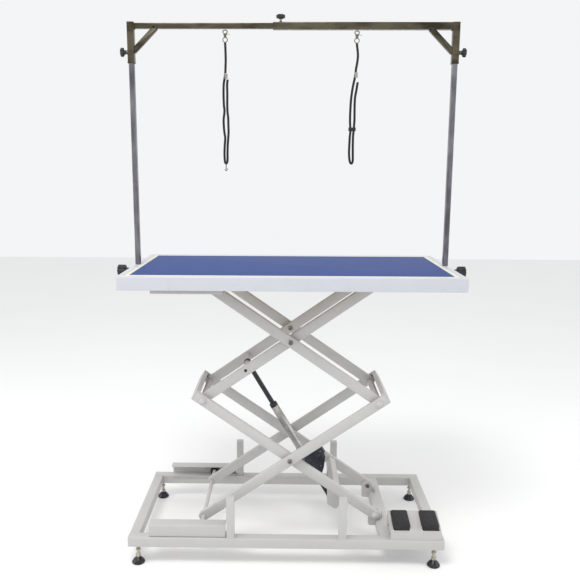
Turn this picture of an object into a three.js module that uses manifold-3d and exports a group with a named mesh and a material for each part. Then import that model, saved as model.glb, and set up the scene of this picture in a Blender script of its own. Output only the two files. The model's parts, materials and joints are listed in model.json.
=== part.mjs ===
// Electric grooming table: a double scissor lift on a floor frame, a matted table top and an
// overhead bar with two grooming loops. Millimetres, +Z up, +X to the user's right and +Y away
// from the pedals. The origin is on the floor under the middle of the table top.
import * as THREE from "three";
import { mergeVertices } from "three/addons/utils/BufferGeometryUtils.js";
import Module from "manifold-3d";

const wasm = await Module();
wasm.setup();

// ---------------------------------------------------------------- driving sizes
const gap = 0.3; // between pieces that touch
const slip = 0.6; // between a pin and its hole, all round

const table = { length: 1250, width: 650, height: 50, wall: 3, border: 40 };
const board = { thick: 15, past: 13 }; // past: how far it runs under the border
const mat = { thick: 3.7 };

const base = { length: 1220, width: 580, centreX: -15, rail: 40, wall: 2.5, clearance: 74 };
const crossbeam = { past: 31.5, width: 50 }; // past: its middle line, beyond the fixed pivots
const restPost = { xs: [-228, 204], side: 30, height: 164, wall: 2.5 };
const foot = { pad: 25, padHeight: 26, stem: 5, inset: 35, into: 30, nut: 9.5, nutHeight: 8 };

const arm = { span: 840, depth: 40, thick: 20, wall: 2.5, layerGap: 2, outerFace: 166.5 };
const restAngle = THREE.MathUtils.degToRad(34.66); // slope of the arms at full height
const endBeam = { reach: 42, thick: 18 };

const pin = 7; // radius of the scissor pins
const rollerShaft = 8; // radius
const roller = { radius: 20, width: 30 };
const track = { depth: 46, height: 50, wall: 4, outerY: 284, postGap: 4 };
const trackPast = { lower: 31.7, upper: 0.7 }; // beyond the rollers with the table right down
const foldedAngle = THREE.MathUtils.degToRad(5.06); // slope of the arms with the table right down

const actuator = {
  upper: { along: 206.5, off: 1.6 }, // rod pivot on the upper inner arms, from their left end
  lower: { along: 133.7, off: 96.8 }, // tail pivot on the lower inner arms, from their right end
  rod: 10,
  tube: 16,
  bore: 11.2,
  mouth: 206, // rod pivot to tube mouth at full height
  rodEnd: 262,
  tubeEnd: 236.2, // short of the tail pivot
  cap: 8, // solid end of the tube
  eye: 14,
  eyeHalf: 10,
  pin: 6,
};
const motor = { radius: 29, off: 54, from: -14, to: 38 }; // along from the tube's end
// Its outline runs [along from the tube's end, off the centre line].
const gearCase = {
  half: 25, // along Y
  top: 84,
  shoulder: [50, 74],
  waist: [85, 48],
  heel: [94, -22],
  ankle: 122,
};
const tail = { half: 9, side: 10, eye: 12 };
const clevis = { inner: 31, thick: 8, tubeAlong: 200, tubeSide: 30, pinPlay: 0.5 };
// Measured along and off the lower inner arms, as the actuator's tail pivot is.
const cheekShape = { neck: [184, -65], toe: 150, heel: 104, low: -112, corner: 8 };

const pedalBox = {
  length: 196,
  inset: 10, // from the right end of the frame
  front: -285,
  back: -175,
  frontHeight: 27,
  backHeight: 64,
  sheet: 2,
};
const pedal = { width: 64, front: -270, back: -180, low: 28, gap: 1.5 };
const pedalInsets = { up: 151.5, down: 40 }; // from the right end of the box
const pedalTop = { front: 53, back: 70 }; // above the rails
const pedalPivot = { radius: 3, y: -186, below: 9, rib: 3 };

const post = { side: 20, wall: 1.5, inset: 2, below: 20, top: 866 }; // top: above the table top
const sleeve = { wall: 2.4, top: 921, length: 150, knob: 812 };
const bar = {
  inner: 20,
  wall: 2.2,
  play: 0.8, // between the two halves, all round
  height: 907,
  outerStart: -75,
  overlap: 60,
  knobX: -46,
};
const brace = { side: 20, reach: 82 };
const clampPlate = { half: 35, thick: 3, lift: 5, below: 3 };
const socketWall = 6;
const clampKnob = { radius: 22.5, length: 32, head: 38, drop: 25 }; // head: beyond the end of the top
const sideKnob = { radius: 17, length: 13, stem: 15 };
const knobShape = { screw: 4, lobes: 6, flute: 0.09 };

const loops = {
  hookHeight: 50, // bar underside to strap
  ring: 9.5,
  wire: 1.6,
  neck: 2.4,
  shoulder: 3.4,
  fork: 6.5,
  tip: 1.2,
  endHook: { width: 10, height: 22 },
  width: 9,
  thick: 3,
};

// ---------------------------------------------------------------- derived places
const railTop = base.clearance + base.rail;
const pivotZ = railTop + 2 * gap + track.wall + roller.radius;
const rise = arm.span * Math.sin(restAngle);
const reach = arm.span * Math.cos(restAngle);
const underBoard = mat.thick + board.thick + 3 * gap;
const pivotDrop = underBoard + 2 * gap + track.wall + roller.radius;
const tableTop = pivotZ + 2 * rise + pivotDrop;
const crossbeamX = reach / 2 + crossbeam.past;
const foldedX = reach / 2 - arm.span * Math.cos(foldedAngle) - roller.radius;
const trackRight = restPost.xs[0] - restPost.side / 2 - track.postGap;
const boxRight = base.centreX + base.length / 2 - pedalBox.inset;
const pedalXs = { up: boxRight - pedalInsets.up, down: boxRight - pedalInsets.down };
const postX = table.length / 2 - post.inset - post.side / 2;
const sleeveSide = post.side + 2 * (slip + sleeve.wall);
const barOuter = bar.inner + 2 * (bar.wall + bar.play);

const at = (x, z) => new THREE.Vector2(x, z);
const lowRight = at(reach / 2, pivotZ);
const lowLeft = at(-reach / 2, pivotZ);
const midLeft = at(-reach / 2, pivotZ + rise);
const midRight = at(reach / 2, pivotZ + rise);
const topLeft = at(-reach / 2, pivotZ + 2 * rise);
const topRight = at(reach / 2, pivotZ + 2 * rise);

// Faces of the three layers of arms, measured outwards from the middle plane.
const outerLayer = { out: arm.outerFace, in: arm.outerFace - arm.thick };
const middleLayer = { out: outerLayer.in - arm.layerGap, in: outerLayer.in - arm.layerGap - arm.thick };
const innerLayer = { out: middleLayer.in - arm.layerGap, in: middleLayer.in - arm.layerGap - arm.thick };

const alongRising = (from, along, off) =>
  at(
    from.x + along * Math.cos(restAngle) - off * Math.sin(restAngle),
    from.y + along * Math.sin(restAngle) + off * Math.cos(restAngle),
  );
const alongFalling = (from, along, off) =>
  at(
    from.x - along * Math.cos(restAngle) - off * Math.sin(restAngle),
    from.y + along * Math.sin(restAngle) - off * Math.cos(restAngle),
  );
const rodPivot = alongRising(midLeft, actuator.upper.along, actuator.upper.off);
const tailPivot = alongFalling(lowRight, actuator.lower.along, actuator.lower.off);
const actuatorLength = rodPivot.distanceTo(tailPivot);
const actuatorAngle = Math.atan2(rodPivot.y - tailPivot.y, tailPivot.x - rodPivot.x);
const tubeEnd = actuatorLength - actuator.tubeEnd;

// ---------------------------------------------------------------- finishes
const finish = (color, roughness, metalness) =>
  new THREE.MeshStandardMaterial({ color, roughness, metalness });
const finishes = {
  coat: () => finish(0xd9d9d6, 0.45, 0.0),
  tableCoat: () => finish(0xd8dae0, 0.4, 0.0),
  steel: () => finish(0x9a948c, 0.2, 1.0),
  bolt: () => finish(0x6f6c66, 0.4, 1.0),
  silver: () => finish(0xb9b6ae, 0.35, 0.9),
  black: () => finish(0x1b1b1e, 0.6, 0.0),
  mat: () => finish(0x4a5fb0, 0.85, 0.0),
  wood: () => finish(0xb08d62, 0.8, 0.0),
  strap: () => finish(0x131315, 0.85, 0.0),
};

// ---------------------------------------------------------------- shaping helpers
function solid(geometry) {
  const bare = geometry.index ? geometry.toNonIndexed() : geometry.clone();
  for (const name of Object.keys(bare.attributes)) {
    if (name !== "position") bare.deleteAttribute(name);
  }
  const welded = mergeVertices(bare, 1e-4);
  const vertProperties = new Float32Array(welded.attributes.position.array);
  const triVerts = new Uint32Array(welded.index.array);
  return new wasm.Manifold(new wasm.Mesh({ numProp: 3, vertProperties, triVerts }));
}

function surface(body) {
  const { vertProperties, triVerts } = body.getMesh();
  const geometry = new THREE.BufferGeometry();
  geometry.setAttribute("position", new THREE.BufferAttribute(vertProperties, 3));
  geometry.setIndex(new THREE.BufferAttribute(triVerts, 1));
  return geometry;
}

const join = (bodies) => bodies.reduce((whole, next) => whole.add(next));
const cut = (body, tools) => tools.reduce((left, tool) => left.subtract(tool), body);

// A box from its lowest to its highest corner.
function block([x0, y0, z0], [x1, y1, z1]) {
  const geometry = new THREE.BoxGeometry(x1 - x0, y1 - y0, z1 - z0);
  geometry.translate((x0 + x1) / 2, (y0 + y1) / 2, (z0 + z1) / 2);
  return solid(geometry);
}

// A round bar along Y (or X or Z) from one end to the other.
function round(radius, from, to, { axis = "y", x = 0, y = 0, z = 0, sides = 16 } = {}) {
  const geometry = new THREE.CylinderGeometry(radius, radius, to - from, sides);
  geometry.translate(0, (from + to) / 2, 0);
  if (axis === "x") geometry.rotateZ(-Math.PI / 2);
  if (axis === "z") geometry.rotateX(Math.PI / 2);
  geometry.translate(x, y, z);
  return solid(geometry);
}

// A turned piece on the Y axis: [radius, place] pairs, from one end to the other.
function turned(profile, sides = 16) {
  const points = profile.map(([radius, place]) => new THREE.Vector2(radius, place));
  return new THREE.LatheGeometry(points, sides);
}

// An outline in X and Z, carried along Y.
function plate(outline, y0, y1) {
  const drawn = outline instanceof THREE.Shape;
  const shape = drawn ? outline : new THREE.Shape(outline.map(([x, z]) => at(x, z)));
  const along = { depth: y1 - y0, bevelEnabled: false, curveSegments: 6 };
  const geometry = new THREE.ExtrudeGeometry(shape, along);
  geometry.rotateX(Math.PI / 2);
  geometry.translate(0, y1, 0);
  return solid(geometry);
}

const between = (a, b) => [Math.min(a, b), Math.max(a, b)];

const root = new THREE.Group();

function put(name, geometry, material, parent = root) {
  const ready = geometry instanceof THREE.BufferGeometry ? geometry : surface(geometry);
  const mesh = new THREE.Mesh(ready, material());
  mesh.name = name;
  parent.add(mesh);
  return mesh;
}

// A group with its X axis along an arm: rising to the right for a positive slope.
function frameAt(place, slope) {
  const group = new THREE.Group();
  group.position.set(place.x, 0, place.y);
  group.rotation.y = -slope;
  root.add(group);
  return group;
}

const sides = { front: -1, rear: 1 };

// ---------------------------------------------------------------- floor frame
function baseFrame() {
  const x0 = base.centreX - base.length / 2;
  const x1 = base.centreX + base.length / 2;
  const y1 = base.width / 2;
  const [z0, z1] = [base.clearance, railTop];
  const beam = [crossbeamX - crossbeam.width / 2, crossbeamX + crossbeam.width / 2];
  const bars = (inset) => [
    block([x0 + inset, -y1 + inset, z0 + inset], [x1 - inset, -y1 + base.rail - inset, z1 - inset]),
    block([x0 + inset, y1 - base.rail + inset, z0 + inset], [x1 - inset, y1 - inset, z1 - inset]),
    block([x0 + inset, -y1 + inset, z0 + inset], [x0 + base.rail - inset, y1 - inset, z1 - inset]),
    block([x1 - base.rail + inset, -y1 + inset, z0 + inset], [x1 - inset, y1 - inset, z1 - inset]),
    block([beam[0] + inset, -y1 + inset, z0 + inset], [beam[1] - inset, y1 - inset, z1 - inset]),
  ];
  const posts = (inset) =>
    restPost.xs.flatMap((x) =>
      Object.values(sides).map((side) => {
        const half = restPost.side / 2 - inset;
        const y = side * (y1 - restPost.side / 2);
        const foot = inset > 0 ? z1 - base.wall - 4 : z1 - base.wall;
        return block([x - half, y - half, foot], [x + half, y + half, z1 + restPost.height - inset]);
      }),
    );
  const stems = footPlaces().map(({ x, y }) =>
    round(foot.stem + slip, z0 - 1, z0 + base.wall + 1, { axis: "z", x, y, sides: 12 }),
  );
  return cut(join([...bars(0), ...posts(0), ...pivotBrackets()]), [
    join([...bars(base.wall), ...posts(restPost.wall)]),
    ...stems,
    ...Object.values(sides).map((side) => bracketHole(side)),
  ]);
}

const bracket = { thick: 6, radius: 21, left: 25, foot: 84 };
const bracketFaces = () => {
  const out = middleLayer.in - arm.layerGap / 2;
  return { in: out - bracket.thick, out };
};

// A plate inside each lower inner arm, standing on the crossbeam, that carries the fixed pivot.
function pivotBrackets() {
  const outline = new THREE.Shape();
  outline.moveTo(lowRight.x - bracket.left, bracket.foot);
  outline.lineTo(crossbeamX, bracket.foot);
  outline.lineTo(crossbeamX, railTop);
  outline.lineTo(lowRight.x + bracket.radius, lowRight.y);
  outline.absarc(lowRight.x, lowRight.y, bracket.radius, 0, Math.PI, false);
  outline.lineTo(lowRight.x - bracket.left, railTop);
  const faces = bracketFaces();
  return [plate(outline, faces.in, faces.out), plate(outline, -faces.out, -faces.in)];
}

function bracketHole(side) {
  const faces = bracketFaces();
  const ys = between(side * (faces.in - 1), side * (faces.out + 1));
  return round(pin + slip, ys[0], ys[1], { x: lowRight.x, z: lowRight.y });
}

function footPlaces() {
  const [halfX, halfY] = [base.length / 2 - foot.inset, (base.width - base.rail) / 2];
  return Object.entries(sides).flatMap(([end, side]) => [
    { name: `${end}_left`, x: base.centreX - halfX, y: side * halfY },
    { name: `${end}_right`, x: base.centreX + halfX, y: side * halfY },
  ]);
}

// A bell-shaped pad on a threaded stem that screws into the rail.
function levellingFoot() {
  const stemTop = base.clearance + foot.into;
  const profile = [
    [0, 0],
    [foot.pad, 0],
    [foot.pad, 6],
    [foot.pad * 0.78, 13],
    [foot.pad * 0.48, 21],
    [foot.stem + 3, foot.padHeight],
    [foot.stem, foot.padHeight],
    [foot.stem, stemTop],
    [0, stemTop],
  ];
  const body = turned(profile, 20);
  body.rotateX(Math.PI / 2);
  const nutFrom = foot.padHeight + 3;
  const nut = round(foot.nut, nutFrom, nutFrom + foot.nutHeight, { axis: "z", sides: 6 });
  return solid(body).add(nut);
}

function channel(left, right, bottom, side) {
  const [out, within] = [track.outerY, track.outerY - track.depth];
  const ys = between(side * out, side * within);
  const hollow = between(side * (out - track.wall), side * (within - 1));
  const top = bottom + track.height;
  return cut(block([left, ys[0], bottom], [right, ys[1], top]), [
    block([left - 1, hollow[0], bottom + track.wall], [right + 1, hollow[1], top - track.wall]),
  ]);
}

// An outline in Y and Z, carried along X.
function slab(outline, x0, x1) {
  const shape = new THREE.Shape(outline.map(([y, z]) => at(y, z)));
  const geometry = new THREE.ExtrudeGeometry(shape, { depth: x1 - x0, bevelEnabled: false });
  geometry.rotateX(Math.PI / 2);
  geometry.rotateZ(Math.PI / 2);
  geometry.translate(x0, 0, 0);
  return solid(geometry);
}

const boxSlope = (pedalBox.backHeight - pedalBox.frontHeight) / (pedalBox.back - pedalBox.front);
const boxTopAt = (y) => railTop + gap + pedalBox.frontHeight + boxSlope * (y - pedalBox.front);
const pedalHinge = { y: pedalPivot.y, z: boxTopAt(pedalPivot.y) - pedalPivot.below };

// A folded-sheet cover with a sloping top, open underneath, with a window for each pedal and
// two ribs beside each window that carry the pedal's hinge stubs.
function pedalBoxShell() {
  const { front, back, sheet } = pedalBox;
  const [left, right] = [boxRight - pedalBox.length, boxRight];
  const z0 = railTop + gap;
  const outline = (inset, bottom) => [
    [front + inset, bottom],
    [back - inset, bottom],
    [back - inset, boxTopAt(back - inset) - inset],
    [front + inset, boxTopAt(front + inset) - inset],
  ];
  const hollow = slab(outline(sheet, z0 - 1), left + sheet, right - sheet);
  const shell = cut(slab(outline(0, z0), left, right), [hollow]);
  const ribs = [];
  const windows = [];
  for (const x of Object.values(pedalXs)) {
    const half = pedal.width / 2 + pedal.gap;
    const [y0, y1] = [pedal.front - pedal.gap, pedal.back + pedal.gap];
    windows.push(block([x - half, y0, z0 + 10], [x + half, y1, z0 + 90]));
    windows.push(
      round(pedalPivot.radius + slip, x - half - 5, x + half + 5, { axis: "x", ...pedalHinge }),
    );
    for (const side of [-1, 1]) {
      const xs = between(x + side * half, x + side * (half + pedalPivot.rib));
      const rib = [
        [pedalPivot.y - 8, boxTopAt(pedalPivot.y - 8) - 1],
        [pedalPivot.y - 8, pedalHinge.z - 8],
        [back - 1, pedalHinge.z - 8],
        [back - 1, boxTopAt(back - 1) - 1],
      ];
      ribs.push(slab(rib, xs[0], xs[1]));
    }
  }
  return cut(join([shell, ...ribs]), windows);
}

// A wedge that tips about two stubs near its back edge.
function pedalPad(x) {
  const [w, bevel] = [pedal.width / 2, 3];
  const z = railTop + gap;
  const outline = [
    [pedal.front, z + pedal.low],
    [pedal.back, pedalHinge.z - 6],
    [pedal.back, z + pedalTop.back - bevel],
    [pedal.back - bevel, z + pedalTop.back],
    [pedal.front + bevel, z + pedalTop.front],
    [pedal.front, z + pedalTop.front - bevel],
  ];
  const reach = w + pedal.gap + pedalPivot.rib;
  const stubs = round(pedalPivot.radius, x - reach, x + reach, {
    axis: "x",
    y: pedalHinge.y,
    z: pedalHinge.z,
    sides: 12,
  });
  return slab(outline, x - w, x + w).add(stubs);
}

put("base_frame", baseFrame(), finishes.coat);
for (const [end, side] of Object.entries(sides)) {
  const track = channel(foldedX - trackPast.lower, trackRight, railTop + gap, side);
  put(`lower_track_${end}`, track, finishes.coat);
}
put("pedal_box", pedalBoxShell(), finishes.coat);
for (const [name, x] of Object.entries(pedalXs)) {
  put(`pedal_${name}`, pedalPad(x), finishes.black);
}
for (const { name, x, y } of footPlaces()) {
  const mesh = put(`levelling_foot_${name}`, levellingFoot(), finishes.black);
  mesh.position.set(x, y, 0);
}

// ---------------------------------------------------------------- scissor arms
// An oblong tube between two pivots, with a round end at each pivot unless it runs on to an
// end beam. X runs from the first pivot to the second.
function scissorArm(layer, side, { before = 0, after = 0, holes }) {
  const outline = (inset) => {
    const half = arm.depth / 2 - inset;
    const shape = new THREE.Shape();
    if (before) {
      shape.moveTo(-before + inset, half);
      shape.lineTo(-before + inset, -half);
    } else {
      shape.absarc(0, 0, half, Math.PI / 2, (3 * Math.PI) / 2, false);
    }
    if (after) {
      shape.lineTo(arm.span + after - inset, -half);
      shape.lineTo(arm.span + after - inset, half);
    } else {
      shape.absarc(arm.span, 0, half, -Math.PI / 2, Math.PI / 2, false);
    }
    return shape;
  };
  const ys = between(side * layer.in, side * layer.out);
  return cut(plate(outline(0), ys[0], ys[1]), [
    plate(outline(arm.wall), ys[0] + arm.wall, ys[1] - arm.wall),
    ...holes.map(([x, z, radius]) => round(radius + slip, ys[0] - 1, ys[1] + 1, { x, z })),
  ]);
}

const centre = arm.span / 2;
const pairs = [
  {
    name: "lower_outer_arm",
    frame: frameAt(lowLeft, restAngle),
    layer: outerLayer,
    after: endBeam.reach,
    holes: [[0, 0, rollerShaft], [centre, 0, pin], [arm.span, 0, pin]],
  },
  {
    name: "lower_inner_arm",
    frame: frameAt(midLeft, -restAngle),
    layer: middleLayer,
    before: endBeam.reach,
    holes: [[0, 0, pin], [centre, 0, pin], [arm.span, 0, pin]],
  },
  {
    name: "upper_inner_arm",
    frame: frameAt(midLeft, restAngle),
    layer: innerLayer,
    holes: [
      [0, 0, pin],
      [centre, 0, pin],
      [arm.span, 0, pin],
      [actuator.upper.along, actuator.upper.off, actuator.pin],
    ],
  },
  {
    name: "upper_outer_arm",
    frame: frameAt(topLeft, -restAngle),
    layer: middleLayer,
    holes: [[0, 0, rollerShaft], [centre, 0, pin], [arm.span, 0, pin]],
  },
];
for (const { name, frame, layer, ...shape } of pairs) {
  for (const [end, side] of Object.entries(sides)) {
    put(`${name}_${end}`, scissorArm(layer, side, shape), finishes.coat, frame);
  }
}
const [outerFrame, innerFrame, upperInnerFrame] = pairs.map((pair) => pair.frame);

// The bar that joins a pair of arms past their middle pivots.
function crossEnd(from, layer) {
  const half = arm.depth / 2;
  const y = layer.in - gap;
  return block([from, -y, -half], [from + endBeam.thick, y, half]);
}
const farEnd = arm.span + endBeam.reach - endBeam.thick;
put("lower_outer_end_beam", crossEnd(farEnd, outerLayer), finishes.coat, outerFrame);
put("lower_inner_end_beam", crossEnd(-endBeam.reach, middleLayer), finishes.coat, innerFrame);

// ---------------------------------------------------------------- pins, shafts and rollers
const dome = { radius: 12, height: 8 };
const head = { radius: 11, height: 5 };

function domed(face) {
  return [
    [pin, face],
    [dome.radius, face],
    [dome.radius * 0.92, face + dome.height * 0.5],
    [dome.radius * 0.6, face + dome.height * 0.87],
    [0, face + dome.height],
  ];
}
const mirrored = (half) => [...half.map(([r, y]) => [r, -y]).reverse(), ...half];

function pivotShaft(name, place, outFace, sleeveFace, material) {
  const half = [[pin + 6, sleeveFace], [pin, sleeveFace], ...domed(outFace + gap)];
  put(name, turned(mirrored(half)), material).position.set(place.x, 0, place.y);
}
pivotShaft("mid_left_pivot_shaft", midLeft, middleLayer.out, innerLayer.in - gap, finishes.coat);
pivotShaft("mid_right_pivot_shaft", midRight, outerLayer.out, middleLayer.in - gap, finishes.coat);

// A shouldered bolt with its head outside the outer face and its nut inside the inner face.
function bolt(name, place, side, outFace, inFace, outEnd, material) {
  const inEnd = [[0, inFace - gap - head.height], [head.radius, inFace - gap - head.height]];
  const shank = [[head.radius, inFace - gap], [pin, inFace - gap], ...outEnd(outFace + gap)];
  const geometry = turned([...inEnd, ...shank]);
  if (side < 0) geometry.rotateX(Math.PI);
  put(name, geometry, material).position.set(place.x, 0, place.y);
}
const flatHead = (face) => [
  [pin, face],
  [head.radius, face],
  [head.radius, face + head.height],
  [0, face + head.height],
];
const lowCentre = at(0, pivotZ + rise / 2);
const topCentre = at(0, pivotZ + 1.5 * rise);
for (const [end, side] of Object.entries(sides)) {
  const faces = bracketFaces();
  bolt(`lower_centre_bolt_${end}`, lowCentre, side, outerLayer.out, middleLayer.in, flatHead, finishes.bolt);
  bolt(`upper_centre_bolt_${end}`, topCentre, side, middleLayer.out, innerLayer.in, flatHead, finishes.bolt);
  bolt(`fixed_pivot_bolt_${end}`, lowRight, side, middleLayer.out, faces.in, domed, finishes.bolt);
}

const shaftEnd = track.outerY - track.wall - 1;
function shaftAcross(name, place, radius, end, material) {
  const shaft = turned([[0, -end], [radius, -end], [radius, end], [0, end]]);
  put(name, shaft, material).position.set(place.x, 0, place.y);
}
shaftAcross("lower_roller_shaft", lowLeft, rollerShaft, shaftEnd, finishes.coat);
shaftAcross("upper_roller_shaft", topLeft, rollerShaft, shaftEnd, finishes.coat);

function wheel() {
  const [half, bore, rim] = [roller.width / 2, rollerShaft + slip, roller.radius];
  const chamfer = 1.5;
  const section = [
    [bore, -half],
    [rim - chamfer, -half],
    [rim, -half + chamfer],
    [rim, half - chamfer],
    [rim - chamfer, half],
    [bore, half],
    [bore, -half],
  ];
  return turned(section, 24);
}
const wheelY = shaftEnd - 2 - roller.width / 2;
for (const [end, side] of Object.entries(sides)) {
  put(`lower_roller_${end}`, wheel(), finishes.black).position.set(lowLeft.x, side * wheelY, lowLeft.y);
  put(`upper_roller_${end}`, wheel(), finishes.black).position.set(topLeft.x, side * wheelY, topLeft.y);
}

// ---------------------------------------------------------------- linear actuator
// Its own frame has X from the rod pivot to the tail pivot.
const drive = frameAt(rodPivot, -actuatorAngle);

function rodPiece() {
  const { eyeHalf } = actuator;
  const eye = round(actuator.eye, -eyeHalf, eyeHalf, { sides: 20 });
  const rod = round(actuator.rod, actuator.eye - 4, actuator.rodEnd, { axis: "x", sides: 20 });
  const hole = round(actuator.pin + slip, -eyeHalf - 1, eyeHalf + 1);
  return cut(eye.add(rod), [hole]);
}

function tubePiece() {
  const outer = round(actuator.tube, actuator.mouth, tubeEnd - gap, { axis: "x", sides: 24 });
  const boreEnd = tubeEnd - actuator.cap;
  return cut(outer, [round(actuator.bore, actuator.mouth - 1, boreEnd, { axis: "x", sides: 20 })]);
}

// Gear case with the motor lying beside the tube, the tail eye and its pin.
function motorHousing() {
  const from = ([along, off]) => [tubeEnd + along, off];
  const ankle = tubeEnd + gearCase.ankle;
  const outline = [
    [tubeEnd, gearCase.heel[1] + 4],
    from(gearCase.heel),
    [ankle, -tail.side],
    [ankle, tail.side],
    from(gearCase.waist),
    from(gearCase.shoulder),
    [tubeEnd, gearCase.top],
  ];
  const stem = block([ankle - 10, -tail.half, -tail.side], [actuatorLength, tail.half, tail.side]);
  const eye = round(tail.eye, -tail.half, tail.half, { x: actuatorLength, sides: 20 });
  const pinHalf = clevis.inner - clevis.pinPlay;
  const crossPin = round(actuator.pin, -pinHalf, pinHalf, { x: actuatorLength });
  const canEnds = [tubeEnd + motor.from, tubeEnd + motor.to];
  const can = round(motor.radius, ...canEnds, { axis: "x", z: motor.off, sides: 24 });
  return join([plate(outline, -gearCase.half, gearCase.half), can, stem, eye, crossPin]);
}

put("actuator_rod", rodPiece(), finishes.black, drive);
put("actuator_tube", tubePiece(), finishes.silver, drive);
put("actuator_motor_housing", motorHousing(), finishes.black, drive);

// The rod pivots on a stepped shaft between the upper inner arms.
const spacer = [actuator.eyeHalf + 1, innerLayer.in - gap];
const rodShaft = mirrored([
  [actuator.pin, spacer[0]],
  [actuator.pin + 5, spacer[0]],
  [actuator.pin + 5, spacer[1]],
  [actuator.pin, spacer[1]],
  [actuator.pin, innerLayer.out],
  [0, innerLayer.out],
]);
const rodShaftMesh = put("actuator_rod_shaft", turned(rodShaft), finishes.coat, upperInnerFrame);
rodShaftMesh.position.set(actuator.upper.along, 0, actuator.upper.off);

// A cross tube between the lower inner arms with two cheeks that hang down past the tail pivot.
function tailBracket() {
  const half = clevis.tubeSide / 2;
  const y = middleLayer.in - gap;
  const { neck, toe, heel, low, corner } = cheekShape;
  const cheek = [
    [clevis.tubeAlong + half, half],
    [clevis.tubeAlong + half, -half],
    neck,
    [toe, low],
    [heel + corner, low],
    [heel, low + corner],
    [heel, neck[1]],
    [clevis.tubeAlong - half, half],
  ].map(([along, off]) => [arm.span - along, off]);
  const x = arm.span - clevis.tubeAlong;
  return join([
    block([x - half, -y, -half], [x + half, y, half]),
    plate(cheek, clevis.inner, clevis.inner + clevis.thick),
    plate(cheek, -clevis.inner - clevis.thick, -clevis.inner),
  ]);
}
put("actuator_tail_bracket", tailBracket(), finishes.coat, innerFrame);

// ---------------------------------------------------------------- table top
function tableFrame() {
  const [x, y, t, top] = [table.length / 2, table.width / 2, table.wall, tableTop];
  const bottom = top - table.height;
  const shell = cut(block([-x, -y, bottom], [x, y, top]), [
    block([-x + t, -y + t, bottom - 1], [x - t, y - t, top - t]),
    block([-x + table.border, -y + table.border, top - t - 1], [x - table.border, y - table.border, top + 1]),
  ]);
  const tabs = restPost.xs.flatMap((place) =>
    [-1, 1].map((side) => {
      const ys = between(side * (base.width / 2 - restPost.side - 2), side * (y - 1));
      const half = restPost.side / 2;
      return block([place - half, ys[0], bottom], [place + half, ys[1], bottom + t]);
    }),
  );
  const socketIn = x - table.border + board.past + 1;
  const width = post.side / 2 + socketWall;
  const hole = post.side / 2 + slip / 2;
  let frame = join([shell, ...tabs]);
  for (const way of [-1, 1]) {
    const xs = between(way * socketIn, way * (x - 1));
    const plateXs = between(way * (x - 1), way * (x + clampPlate.thick));
    frame = join([
      frame,
      block([xs[0], -width, bottom], [xs[1], width, top - t + 1]),
      block(
        [plateXs[0], -clampPlate.half, bottom + clampPlate.lift],
        [plateXs[1], clampPlate.half, top - clampPlate.below],
      ),
    ]);
    const screwHole = { axis: "x", z: top - clampKnob.drop };
    frame = cut(frame, [
      block([way * postX - hole, -hole, bottom - 1], [way * postX + hole, hole, top + 1]),
      round(knobShape.screw + slip, postX + 2, x + clampPlate.thick + 1, screwHole).scale([way, 1, 1]),
    ]);
  }
  return frame;
}

// A cross plate under the board with two lugs for the upper fixed pivot.
const lug = { thick: 6, radius: 18, plate: 4, half: 32 };
function pivotBeam() {
  const top = tableTop - underBoard - gap;
  const y = table.width / 2 - table.wall - 1;
  const x = topRight.x;
  const lugAt = (side) => {
    const ys = between(side * (innerLayer.out + 1), side * (innerLayer.out + 1 + lug.thick));
    const shape = new THREE.Shape();
    shape.moveTo(x + lug.half, top - 1);
    shape.lineTo(x - lug.half, top - 1);
    shape.lineTo(x - lug.radius, topRight.y);
    shape.absarc(x, topRight.y, lug.radius, Math.PI, 2 * Math.PI, false);
    return plate(shape, ys[0], ys[1]);
  };
  const beam = block([x - lug.half, -y, top - lug.plate], [x + lug.half, y, top]);
  const end = innerLayer.out + lug.thick + 2;
  return cut(join([beam, lugAt(-1), lugAt(1)]), [round(pin + slip, -end, end, { x, z: topRight.y })]);
}

const boardTop = tableTop - mat.thick - 2 * gap;
const boardX = table.length / 2 - table.border + board.past;
const boardY = table.width / 2 - table.border + board.past;
const matX = table.length / 2 - table.border - gap;
const matY = table.width / 2 - table.border - gap;
put("table_frame", tableFrame(), finishes.tableCoat);
const boardSheet = block([-boardX, -boardY, boardTop - board.thick], [boardX, boardY, boardTop]);
const matSheet = block([-matX, -matY, boardTop + gap], [matX, matY, boardTop + gap + mat.thick]);
put("table_board", boardSheet, finishes.wood);
put("rubber_mat", matSheet, finishes.mat);
for (const [end, side] of Object.entries(sides)) {
  const bottom = tableTop - underBoard - gap - track.height;
  put(`upper_track_${end}`, channel(foldedX - trackPast.upper, trackRight, bottom, side), finishes.coat);
}
put("table_pivot_beam", pivotBeam(), finishes.coat);
const fixedEnd = innerLayer.out + 1 + lug.thick;
const fixedShaft = mirrored([
  [pin, fixedEnd + gap],
  [head.radius, fixedEnd + gap],
  [head.radius, fixedEnd + gap + head.height],
  [0, fixedEnd + gap + head.height],
]);
put("upper_fixed_pivot_shaft", turned(fixedShaft), finishes.bolt).position.set(topRight.x, 0, topRight.y);

// ---------------------------------------------------------------- posts and overhead bar
function squareTube(half, wall, z0, z1, x) {
  return cut(block([x - half, -half, z0], [x + half, half, z1]), [
    block([x - half + wall, -half + wall, z0 - 1], [x + half - wall, half - wall, z1 + 1]),
  ]);
}

const postBottom = tableTop - table.height - post.below;
for (const [name, way] of [["left", -1], ["right", 1]]) {
  const tube = squareTube(post.side / 2, post.wall, postBottom, tableTop + post.top, way * postX);
  put(`post_${name}`, tube, finishes.steel);
}

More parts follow.
